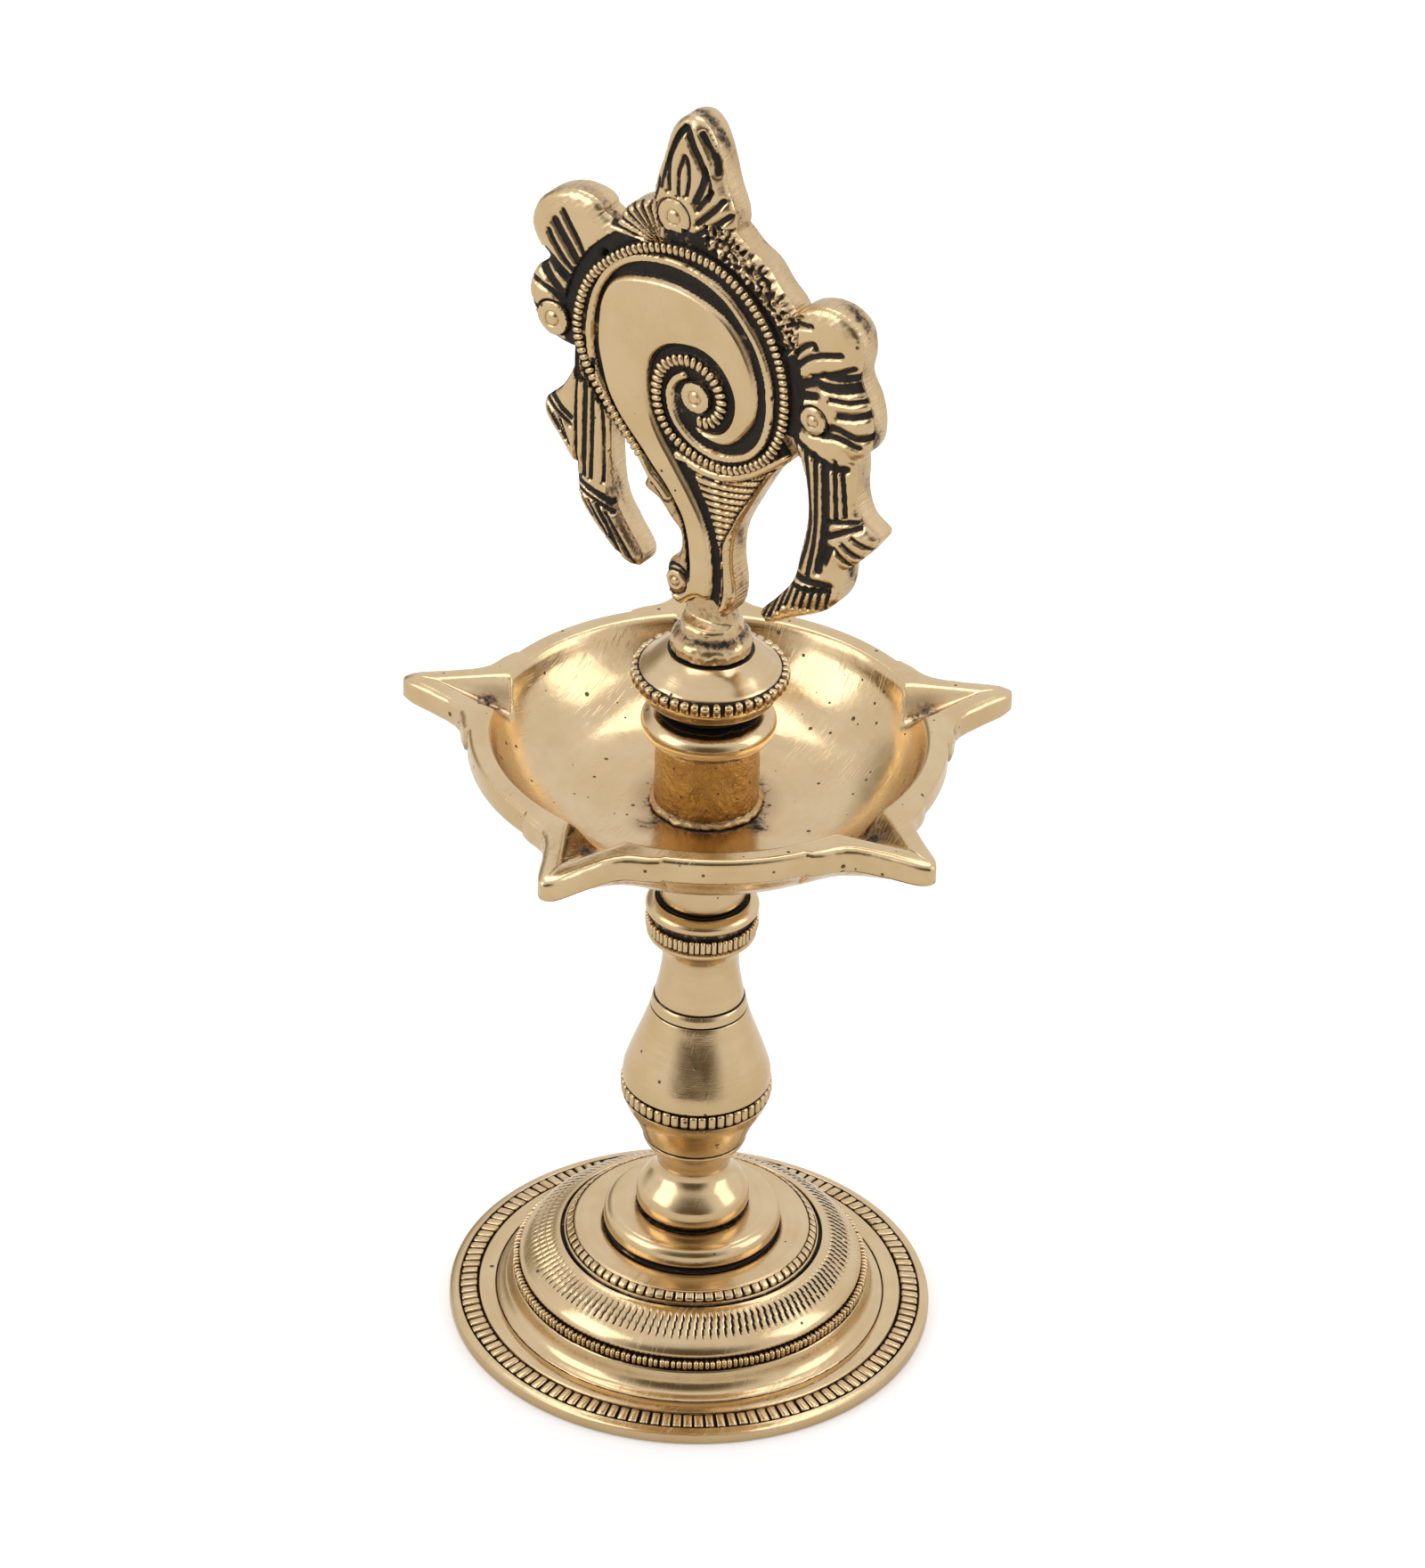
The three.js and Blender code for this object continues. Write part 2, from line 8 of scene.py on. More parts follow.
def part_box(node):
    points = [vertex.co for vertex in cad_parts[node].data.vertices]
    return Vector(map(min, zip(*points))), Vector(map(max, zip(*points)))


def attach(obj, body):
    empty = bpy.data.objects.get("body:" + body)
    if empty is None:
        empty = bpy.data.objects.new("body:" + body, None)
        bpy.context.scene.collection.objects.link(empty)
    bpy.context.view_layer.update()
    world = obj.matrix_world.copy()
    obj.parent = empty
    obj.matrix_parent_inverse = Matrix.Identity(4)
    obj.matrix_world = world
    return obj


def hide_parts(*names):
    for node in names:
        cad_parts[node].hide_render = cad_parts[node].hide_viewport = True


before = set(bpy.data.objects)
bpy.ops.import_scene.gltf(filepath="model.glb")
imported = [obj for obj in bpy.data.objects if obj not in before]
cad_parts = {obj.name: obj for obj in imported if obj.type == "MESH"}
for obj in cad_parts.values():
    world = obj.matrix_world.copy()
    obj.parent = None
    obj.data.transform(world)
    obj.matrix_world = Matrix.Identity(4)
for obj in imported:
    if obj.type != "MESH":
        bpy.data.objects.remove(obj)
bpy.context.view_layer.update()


# ---------------------------------------------------------------------------
# Foot: one round casting, turned on the lathe. Rings of teeth, small beads and
# a row of cuts are struck into it, and black colour is rubbed into the recesses.
# ---------------------------------------------------------------------------
MM = 0.001
dice = np.random.default_rng(7)


def only(piece):
    """Leaves one object selected and active."""
    bpy.ops.object.select_all(action="DESELECT")
    piece.select_set(True)
    bpy.context.view_layer.objects.active = piece


def face_outwards(piece):
    """Turns the normals of a closed piece outwards."""
    only(piece)
    bpy.ops.object.mode_set(mode="EDIT")
    bpy.ops.mesh.select_all(action="SELECT")
    bpy.ops.mesh.normals_make_consistent(inside=False)
    bpy.ops.object.mode_set(mode="OBJECT")


def padded(points):
    """Rows of radius, height and black, with no black where none is given."""
    return np.array([tuple(p) + (0.0,) * (3 - len(p)) for p in points])


def flowing(points, each=6):
    """A smooth curve through a chain of points; values after the first two are carried along."""
    rows = padded(points)
    rows = np.vstack([2 * rows[0] - rows[1], rows, 2 * rows[-1] - rows[-2]])
    out = []
    for i in range(1, len(rows) - 2):
        p0, p1, p2, p3 = rows[i - 1:i + 3]
        for t in np.linspace(0, 1, each, endpoint=False):
            out.append(0.5 * (2 * p1 + (p2 - p0) * t + (2 * p0 - 5 * p1 + 4 * p2 - p3) * t * t
                              + (3 * p1 - p0 - 3 * p2 + p3) * t ** 3))
    out.append(rows[-2])
    return [tuple(row) for row in out]


def read_points(piece):
    """The mesh's points in mm, as rows of x, y, z."""
    flat = np.empty(len(piece.data.vertices) * 3)
    piece.data.vertices.foreach_get("co", flat)
    return flat.reshape(-1, 3) / MM


def move_points(piece, points):
    """Puts the mesh's points at new places, given in mm."""
    piece.data.vertices.foreach_set("co", (points * MM).ravel())
    piece.data.update()


def blacken(piece, amount):
    """Stores how much black is left on each point, from 0 to 1."""
    layer = piece.data.attributes.get("grime")
    if layer is None:
        layer = piece.data.attributes.new("grime", "FLOAT", "POINT")
    layer.data.foreach_set("value", np.clip(amount, 0, 1).astype(np.float32))


def read_black(piece):
    amount = np.empty(len(piece.data.vertices), np.float32)
    piece.data.attributes["grime"].data.foreach_get("value", amount)
    return amount


SECTORS = 10


def turn_about_axis(points, angle):
    """Points turned round the lamp's upright axis."""
    x, y, z = points.T
    return np.column_stack([x * cos(angle) - y * sin(angle), x * sin(angle) + y * cos(angle), z])


def turned(name, profile, steps, smooth=38):
    """Spins a half outline into a tenth of a ring, and copies that round the lamp's axis.
    Each entry of the outline is radius, height, and black if any."""
    rows = padded(profile)
    mesh = bpy.data.meshes.new(name)
    mesh.from_pydata([(r * MM, 0, z * MM) for r, z, _ in rows],
                     [(i, i + 1) for i in range(len(rows) - 1)], [])
    piece = bpy.data.objects.new(name, mesh)
    bpy.context.collection.objects.link(piece)
    only(piece)
    bpy.ops.object.mode_set(mode="EDIT")
    bpy.ops.mesh.select_all(action="SELECT")
    bpy.ops.mesh.spin(steps=steps // SECTORS, angle=2 * pi / SECTORS, center=(0, 0, 0), axis=(0, 0, 1))
    bpy.ops.object.mode_set(mode="OBJECT")
    one, faces = read_points(piece), [tuple(f.vertices) for f in mesh.polygons]
    points = [turn_about_axis(one, 2 * pi * k / SECTORS) for k in range(SECTORS)]
    mesh.clear_geometry()
    mesh.from_pydata(np.vstack(points) * MM, [], [
        tuple(v + k * len(one) for v in face) for k in range(SECTORS) for face in faces])
    bpy.ops.object.mode_set(mode="EDIT")
    bpy.ops.mesh.select_all(action="SELECT")
    bpy.ops.mesh.remove_doubles(threshold=2e-6)
    bpy.ops.object.mode_set(mode="OBJECT")
    face_outwards(piece)
    bpy.ops.object.shade_smooth_by_angle(angle=radians(smooth))
    at = read_points(piece)
    radius = np.hypot(at[:, 0], at[:, 1])
    gap = np.abs(radius[:, None] - rows[:, 0]) + np.abs(at[:, 2, None] - rows[:, 1])
    blacken(piece, rows[gap.argmin(axis=1), 2])
    return piece


def ring_of_lumps(name, count, radius, height, size, soften, lean=0.0, jitter=0.04, black=0.5):
    """One small rounded block, copied round the axis. Its size is outwards, along and up, in mm.
    The copies differ a little in size and place, and are blacker at their sides and inner end."""
    bpy.ops.object.select_all(action="DESELECT")
    bpy.ops.mesh.primitive_cube_add(size=1, location=(0, 0, 0))
    piece = bpy.context.active_object
    piece.name = piece.data.name = name
    for point in piece.data.vertices:
        point.co = Vector((point.co.x * size[0] + radius, point.co.y * size[1],
                           point.co.z * size[2] + height)) * MM
    only(piece)
    bpy.ops.object.mode_set(mode="EDIT")
    bpy.ops.mesh.select_all(action="SELECT")
    bpy.ops.mesh.bevel(offset=soften * MM, segments=2, profile=0.6, affect="EDGES")
    bpy.ops.object.mode_set(mode="OBJECT")
    one = read_points(piece)
    one[:, 2] -= (one[:, 0] - radius) * lean
    centre = np.array([radius, 0, height])
    faces = [tuple(f.vertices) for f in piece.data.polygons]
    points, rings, blacks = [], [], []
    for i in range(count):
        copy = centre + (one - centre) * (1 + dice.uniform(-2, 1, 3) * jitter)
        angle = 2 * pi * (i + dice.uniform(-1, 1) * jitter) / count
        points.append(turn_about_axis(copy, angle))
        rings += [tuple(v + i * len(one) for v in face) for face in faces]
        far = np.abs(one[:, 1]) / size[1]
        inward = np.clip((radius - one[:, 0]) / size[0] + 0.35, 0, 1)
        blacks.append(black * np.maximum(np.clip((far - 0.36) * 7, 0, 1), inward) + dice.uniform(-0.2, 0.06))
    piece.data.clear_geometry()
    piece.data.from_pydata(np.vstack(points) * MM, [], rings)
    face_outwards(piece)
    bpy.ops.object.shade_smooth()
    blacken(piece, np.concatenate(blacks))
    return piece


def settle(piece, body, slot, material, *nodes):
    """Gives a piece its metal and its body, and hides the nodes that it stands for. The slot is not used."""
    piece.data.materials.clear()
    piece.data.materials.append(material)
    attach(piece, body)
    if nodes:
        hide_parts(*nodes)


FOOT_CUTS = 130
FOOT_STEPS = FOOT_CUTS * 6
foot_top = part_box("foot")[1].z / MM
hub_floor, hub_radius, rod_hole = 4.0, 8.5, 3.5
foot_profile = [
    (0, 0), (hub_radius, 0), (hub_radius, 8.4), (9.6, 9.4), (18.6, 9.5), (22, 7.6), (24.4, 3.4),
    (26.2, 1.3), (31.2, 0.9), (31.5, 0.0), (35.6, 0.0), (35.9, 0.15), (36, 0.5), (36, 1.3),
    (35.85, 1.7), (35.5, 1.86), (35.0, 1.98), (34.66, 2.04, 0.2), (34.5, 1.9, 1), (34.4, 1.45, 1),
    (33.1, 1.5, 1), (31.85, 1.62, 1), (31.7, 2.1, 1), (31.55, 2.42, 0.3), (31.3, 2.5), (30.2, 2.54),
    (29.3, 2.57), (29.14, 2.5, 0.5), (29.05, 2.32, 1), (28.95, 2.5, 0.5), (28.8, 2.62),
] + flowing([(28.6, 2.72), (27.7, 3.15), (27.05, 4.1), (26.75, 5.4), (26.6, 6.0)], 4) + [
    (26.45, 6.16, 0.7), (25.9, 6.2, 1), (25.55, 6.4, 1), (25.4, 7.0, 1), (25.4, 7.7, 1),
    (25.55, 7.9, 0.8), (25.62, 8.05, 0.2),
] + flowing([(25.6, 8.3), (25.2, 9.05), (24.5, 9.75), (23.7, 10.35), (22.9, 10.95), (22.0, 11.6),
             (20.95, 12.2), (20.2, 12.55), (19.62, 12.7)], 3) + [
    (19.5, 12.6, 0.6), (19.4, 12.2, 1), (19.2, 12.2, 1), (19.1, 12.7, 0.7), (18.98, 12.95, 0.1),
    (18.8, 12.98, 0.3), (18.65, 12.7, 1), (18.1, 13.1, 1), (17.75, 13.4, 1), (17.62, 13.95, 0.6),
    (17.45, 14.12),
] + flowing([(17.2, 14.16), (16.0, 14.22), (14.8, 14.3), (13.7, 14.36)], 2) + [
    (13.3, 14.2, 0.5), (12.9, 14.1, 0.8), (12.4, foot_top - 0.05, 1), (rod_hole, foot_top - 0.05, 1),
    (rod_hole, hub_floor, 1), (0, hub_floor, 1),
]
foot = turned("foot_casting", foot_profile, FOOT_STEPS)
at = read_points(foot)
radius = np.hypot(at[:, 0], at[:, 1])
column = np.round(np.arctan2(at[:, 1], at[:, 0]) / (2 * pi) * FOOT_STEPS).astype(int)
# Every sixth column of points is sunk into the moulding, and shifts with the radius, so the cuts slant
CUTS_IN, CUTS_OUT, CUT_DEPTH, CUT_SLANT = 20.7, 23.8, 0.55, 1.1
CUT_INWARD, CUT_DOWN = 0.55, 0.83
on_band = (radius > CUTS_IN) & (radius < CUTS_OUT) & (at[:, 2] > 10)
slant = np.floor((radius - CUTS_IN) / CUT_SLANT).astype(int)
cut = on_band & ((column + slant) % 6 == 0)
depth = CUT_DEPTH * np.clip(np.minimum(radius - CUTS_IN + 0.1, CUTS_OUT + 0.1 - radius) / 0.5, 0, 1)
inward = np.column_stack([at[:, 0] / np.maximum(radius, 1) * -CUT_INWARD,
                          at[:, 1] / np.maximum(radius, 1) * -CUT_INWARD, np.full(len(at), -CUT_DOWN)])
at[cut] += inward[cut] * depth[cut, None]
move_points(foot, at)
foot_black = read_black(foot)
foot_black[cut] = 1
beside_cut = on_band & ((column + slant) % 6 == 1) & (radius > 21.0) & (radius < 23.5)
foot_black[beside_cut] = 0.85
blacken(foot, foot_black)
foot_teeth = ring_of_lumps("foot_outer_teeth", FOOT_CUTS, 33.12, 1.86, (2.5, 1.3, 0.95), 0.3, 0.13, 0.04, 0.5)
foot_beads = ring_of_lumps("foot_bead_ring", 196, 26.0, 7.05, (1.25, 0.76, 1.35), 0.36, 0.0, 0.08, 0.75)
foot_inner_teeth = ring_of_lumps("foot_inner_teeth", 77, 18.18, 13.3, (1.0, 1.22, 1.1), 0.24, 0.75)


# The metal: yellow brass, turned or filed, then polished. Each effect is one node
# group: marks of the lathe, scratches, pits of the casting, and black in recesses.
def node(tree, kind, sockets=None, **settings):
    """Adds a node; a socket given another node's output is wired, and otherwise set."""
    made = tree.nodes.new("ShaderNode" + kind)
    for key, value in settings.items():
        setattr(made, key, value)
    for key, value in (sockets or {}).items():
        if isinstance(value, bpy.types.NodeSocket):
            tree.links.new(value, made.inputs[key])
        else:
            made.inputs[key].default_value = value
    return made


def calc(tree, operation, *values, clamp=False):
    """One step of arithmetic on values or on other nodes' outputs."""
    return node(tree, "Math", dict(enumerate(values)), operation=operation, use_clamp=clamp).outputs[0]


def fit(tree, value, low, high, out_low=0.0, out_high=1.0):
    """Stretches a value's range from low..high to out_low..out_high, with soft ends."""
    return node(tree, "MapRange", {"Value": value, "From Min": low, "From Max": high,
                                   "To Min": out_low, "To Max": out_high},
                interpolation_type="SMOOTHSTEP").outputs["Result"]


def blend(tree, share, first, second, blend_type="MIX"):
    """Mixes two colours, each given as a value or as another node's output."""
    return node(tree, "Mix", {0: share, 6: first, 7: second}, data_type="RGBA",
                blend_type=blend_type).outputs[2]


def noise(tree, where, scale, detail=3.0, rough=0.55):
    """Soft random variation, with its scale in lumps per metre."""
    return node(tree, "TexNoise", {"Vector": where, "Scale": scale, "Detail": detail,
                                   "Roughness": rough}).outputs["Fac"]


def group(name, inputs, outputs):
    """A new node group; returns it, the outputs of its input node, and its output node's inputs."""
    tree = bpy.data.node_groups.new(name, "ShaderNodeTree")
    for label, value in inputs:
        tree.interface.new_socket(name=label, in_out="INPUT",
                                  socket_type="NodeSocketFloat").default_value = value
    for label in outputs:
        tree.interface.new_socket(name=label, in_out="OUTPUT", socket_type="NodeSocketFloat")
    source = tree.nodes.new("NodeGroupInput").outputs
    result = tree.nodes.new("NodeGroupOutput").inputs
    return tree, source, result


# Marks that run round the axis, as a cutting tool and emery leave them
lathe_marks, given, result = group("lathe marks", [("Lines per m", 5200)], ["Height", "Tone"])
where = node(lathe_marks, "TexCoord").outputs["Object"]
apart = node(lathe_marks, "SeparateXYZ", {0: where})
out_from_axis = calc(lathe_marks, "SQRT", calc(lathe_marks, "ADD", calc(
    lathe_marks, "MULTIPLY", apart.outputs[0], apart.outputs[0]), calc(
    lathe_marks, "MULTIPLY", apart.outputs[1], apart.outputs[1])))
around = calc(lathe_marks, "MULTIPLY", calc(
    lathe_marks, "ARCTAN2", apart.outputs[1], apart.outputs[0]), 0.0006)
ringed = node(lathe_marks, "CombineXYZ", {0: out_from_axis, 1: apart.outputs[2], 2: around}).outputs[0]
fine = noise(lathe_marks, ringed, given["Lines per m"], 2)
coarse = noise(lathe_marks, ringed, 900, 3)
lathe_marks.links.new(fine, result["Height"])
lathe_marks.links.new(fit(lathe_marks, coarse, 0.3, 0.7), result["Tone"])

# Thin scratches of handling and of the file, in three directions
scratches, given, result = group("scratches", [("Amount", 0.5)], ["Mask"])
where = node(scratches, "TexCoord").outputs["Object"]
total = None
for turn_by, size in ((0.35, 5200), (1.25, 4300), (2.3, 6100)):
    laid = node(scratches, "Mapping", {"Vector": where, "Rotation": (turn_by, turn_by * 0.7, turn_by),
                                       "Scale": (1.0, 0.03, 0.05)}).outputs[0]
    line = fit(scratches, noise(scratches, laid, size, 1), 0.66, 0.74)
    total = line if total is None else calc(scratches, "MAXIMUM", total, line)
patch = fit(scratches, noise(scratches, where, 90, 2), 0.42, 0.62)
scratches.links.new(calc(scratches, "MULTIPLY", calc(
    scratches, "MULTIPLY", total, patch), given["Amount"]), result["Mask"])

# Small round pits where the casting was porous, some cells with one, most with none
pits, given, result = group("casting pits", [("Cells per m", 420), ("Share", 0.35)], ["Mask"])
where = node(pits, "TexCoord").outputs["Object"]
cell = node(pits, "TexVoronoi", {"Vector": where, "Scale": given["Cells per m"], "Randomness": 1.0})
chance = node(pits, "SeparateColor", {0: cell.outputs["Color"]})
pit_size = calc(pits, "MULTIPLY", chance.outputs[1], 0.14)
chosen = calc(pits, "LESS_THAN", chance.outputs[0], given["Share"])
hole = calc(pits, "LESS_THAN", cell.outputs["Distance"], calc(pits, "ADD", pit_size, 0.02))
pits.links.new(calc(pits, "MULTIPLY", hole, chosen), result["Mask"])

# Marks of a coarse file drawn across the edge of a plate
file_marks, given, result = group("file marks", [("Marks per m", 2400)], ["Height"])
where = node(file_marks, "TexCoord").outputs["Object"]
laid = node(file_marks, "Mapping", {"Vector": where, "Rotation": (0, 0, 0.12),
                                    "Scale": (1, 0.07, 1)}).outputs[0]
file_marks.links.new(noise(file_marks, laid, given["Marks per m"], 3), result["Height"])

# Black left in the recesses, with uneven edges where the polishing reached
grime_mask, given, result = group("recess black", [("Recess", 0.0), ("Spread", 0.5)], ["Mask"])
where = node(grime_mask, "TexCoord").outputs["Object"]
broken = calc(grime_mask, "ADD", noise(grime_mask, where, 1100, 4, 0.65), -0.5)
wide = calc(grime_mask, "ADD", noise(grime_mask, where, 160, 2), -0.5)
worn = fit(grime_mask, noise(grime_mask, where, 210, 3), 0.3, 0.58, 0.66, 1.0)
kept_black = calc(grime_mask, "MULTIPLY", given["Recess"], worn)
sum_up = calc(grime_mask, "ADD", calc(grime_mask, "ADD", kept_black, calc(
    grime_mask, "MULTIPLY", broken, 0.9)), calc(grime_mask, "MULTIPLY", wide, 0.5))
edge = calc(grime_mask, "SUBTRACT", 1.0, given["Spread"])
grime_mask.links.new(fit(grime_mask, calc(grime_mask, "SUBTRACT", sum_up, edge), -0.12, 0.22),
                     result["Mask"])


def use(tree, made, **values):
    """Places a node group in a material with its own values."""
    placed = tree.nodes.new("ShaderNodeGroup")
    placed.node_tree = made
    for key, value in values.items():
        socket = placed.inputs[key.replace("_", " ")]
        if isinstance(value, bpy.types.NodeSocket):
            tree.links.new(value, socket)
        else:
            socket.default_value = value
    return placed.outputs


def brass(name, colour, deep, rough, marks=0.5, scratch=0.5, pitted=0.2, cells=420, spread=0.5,
          lumpy=0.0, lines=5200):
    """Brass that clouds from one colour to a deeper one, with its roughness and a share of each effect.
    A point's grime blackens it and stains the metal beside it, and its filed value roughens it."""
    material = bpy.data.materials.new(name)
    material.use_nodes = True
    tree = material.node_tree
    shader = tree.nodes["Principled BSDF"]
    where = node(tree, "TexCoord").outputs["Object"]
    lathe = use(tree, lathe_marks, Lines_per_m=lines)
    lines_mask = use(tree, scratches, Amount=scratch)["Mask"]
    pit = use(tree, pits, Cells_per_m=cells, Share=pitted)["Mask"]
    recess = node(tree, "Attribute", attribute_name="grime").outputs["Fac"]
    filed = node(tree, "Attribute", attribute_name="filed").outputs["Fac"]
    black = use(tree, grime_mask, Recess=recess, Spread=spread)["Mask"]
    dark = calc(tree, "MAXIMUM", black, calc(tree, "MULTIPLY", pit, 0.85), clamp=True)

    cloud = fit(tree, noise(tree, where, 130, 4), 0.3, 0.7)
    tone = blend(tree, calc(tree, "MULTIPLY", cloud, 0.55), (*colour, 1), (*deep, 1))
    tone = blend(tree, calc(tree, "MULTIPLY", lathe["Tone"], 0.16 * marks), tone, (0.55, 0.45, 0.35, 1),
                 "MULTIPLY")
    tone = blend(tree, fit(tree, recess, 0.08, 0.6, 0.0, 0.75), tone, (0.6, 0.5, 0.46, 1), "MULTIPLY")
    tone = blend(tree, dark, tone, (0.016, 0.011, 0.007, 1))
    tree.links.new(tone, shader.inputs["Base Color"])

    gloss = calc(tree, "ADD", fit(tree, noise(tree, where, 420, 4), 0.25, 0.75, rough * 0.75, rough * 1.3),
                 calc(tree, "MULTIPLY", lines_mask, 0.18))
    tree.links.new(calc(tree, "ADD", gloss, calc(tree, "MULTIPLY", dark, 0.4), clamp=True),
                   shader.inputs["Roughness"])
    tree.links.new(calc(tree, "SUBTRACT", 1.0, calc(tree, "MULTIPLY", dark, 0.55)),
                   shader.inputs["Metallic"])

    cross_cut = calc(tree, "MULTIPLY", use(tree, file_marks)["Height"], filed)
    height = calc(tree, "MULTIPLY", lathe["Height"], 0.5 * marks)
    for surface, amount in ((lines_mask, -0.5), (pit, -2.0), (cross_cut, 11.0),
                            (noise(tree, where, 260, 3), 1.6 + 14 * lumpy),
                            (noise(tree, where, 1500, 4, 0.6), 5 * lumpy)):
        height = calc(tree, "ADD", height, calc(tree, "MULTIPLY", surface, amount))
    bump = node(tree, "Bump", {"Strength": 0.5, "Distance": 0.00006, "Height": height})
    tree.links.new(bump.outputs[0], shader.inputs["Normal"])
    return material


YELLOW, DEEP = (0.69, 0.53, 0.32), (0.60, 0.43, 0.22)
antiqued = brass("antiqued brass", YELLOW, DEEP, 0.17, 0.6, 0.5, 0.1, spread=0.55)
for part in (foot, foot_teeth, foot_beads, foot_inner_teeth):
    settle(part, "base", "antiqued_brass", antiqued, *(["foot"] if part is foot else []))


# ---------------------------------------------------------------------------
# Seat disc: a plain flange soldered on the foot. The seam under it keeps its dirt.
# ---------------------------------------------------------------------------
polished = brass("polished brass", YELLOW, DEEP, 0.17, 0.5, 0.6, 0.12, spread=0.5)
seat_low, seat_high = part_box("seat_disc")
z0, z1 = seat_low.z / MM, seat_high.z / MM
seat = turned("seat_flange", [
    (rod_hole, z0, 1), (12.6, z0, 1), (12.95, z0 + 0.12, 0.5), (13.15, z0 + 0.45, 0.2),
] + flowing([(13.18, z0 + 0.8), (13.1, z0 + 1.6), (12.9, z0 + 2.3), (12.5, z1 - 0.35),
             (11.9, z1 - 0.06), (11.2, z1)], 3) + [
    (9.2, z1 - 0.02), (8.6, z1 - 0.05, 0.25), (8.2, z1 - 0.1, 0.8), (rod_hole + 0.3, z1 - 0.1, 1),
    (rod_hole, z1 - 0.3, 1), (rod_hole, z0, 1)], 160)
settle(seat, "base", "polished_brass", polished, "seat_disc")


# ---------------------------------------------------------------------------
# Stem rod: brass rod with a right-hand thread cut along it. It ties the foot,
# the seat disc, the knop and the vase, and is out of sight until they unscrew.
# ---------------------------------------------------------------------------
def threaded(name, node_name, radius, pitch=1.5, depth=0.55, steps=40):
    """A rod with a helical thread, whose crest is the rod's radius. The ends are cut square."""
    low, high = (corner.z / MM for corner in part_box(node_name))
    rows = np.arange(low + 0.3, high - 0.3, pitch / 10)
    rod = turned(name, [(0, low), (radius - depth, low)] + [(radius, z) for z in rows]
                 + [(radius - depth, high), (0, high)], steps, 60)
    at = read_points(rod)
    out = np.hypot(at[:, 0], at[:, 1])
    on = out > radius - 0.01
    turn = np.arctan2(at[:, 1], at[:, 0]) / (2 * pi)
    wave = np.abs((at[:, 2] / pitch - turn) % 1 - 0.5) * 2
    shrink = 1 - depth * np.clip(1.25 - wave * 1.5, 0, 1) / radius
    at[on, :2] *= shrink[on, None]
    move_points(rod, at)
    blacken(rod, np.where(on, (1 - shrink) * radius / depth * 0.6, 0.2))
    return rod


threaded_brass = brass("threaded brass", (0.62, 0.43, 0.2), (0.5, 0.32, 0.12), 0.3, 0.4, 0.3, 0.0,
                       spread=0.45)
stem_rod = threaded("stem_rod_thread", "stem_rod", 3.2)
settle(stem_rod, "stem_lift", "rod_brass", threaded_brass, "stem_rod")


# ---------------------------------------------------------------------------
# Knop: a waisted spool of turned brass between the seat disc and the vase.
# ---------------------------------------------------------------------------
knop_low, knop_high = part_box("knop")
z0, z1 = knop_low.z / MM, knop_high.z / MM
knop = turned("knop_spool", [(rod_hole, z0, 1), (7.7, z0, 1)] + flowing([
    (8.05, z0 + 0.12, 0.6), (8.36, z0 + 0.9), (8.4, z0 + 2.1), (8.05, z0 + 3.4), (7.0, z0 + 4.9),
    (5.85, z0 + 6.2), (5.42, z0 + 7.5), (5.6, z0 + 8.7), (6.4, z0 + 10.2), (7.3, z0 + 11.6),
    (7.68, z0 + 12.3), (7.72, z1 - 0.12, 0.3)], 4) + [(7.6, z1, 1), (rod_hole, z1, 1),
                                                      (rod_hole, z0, 1)], 120)
settle(knop, "stem_lift", "polished_brass", polished, "knop")


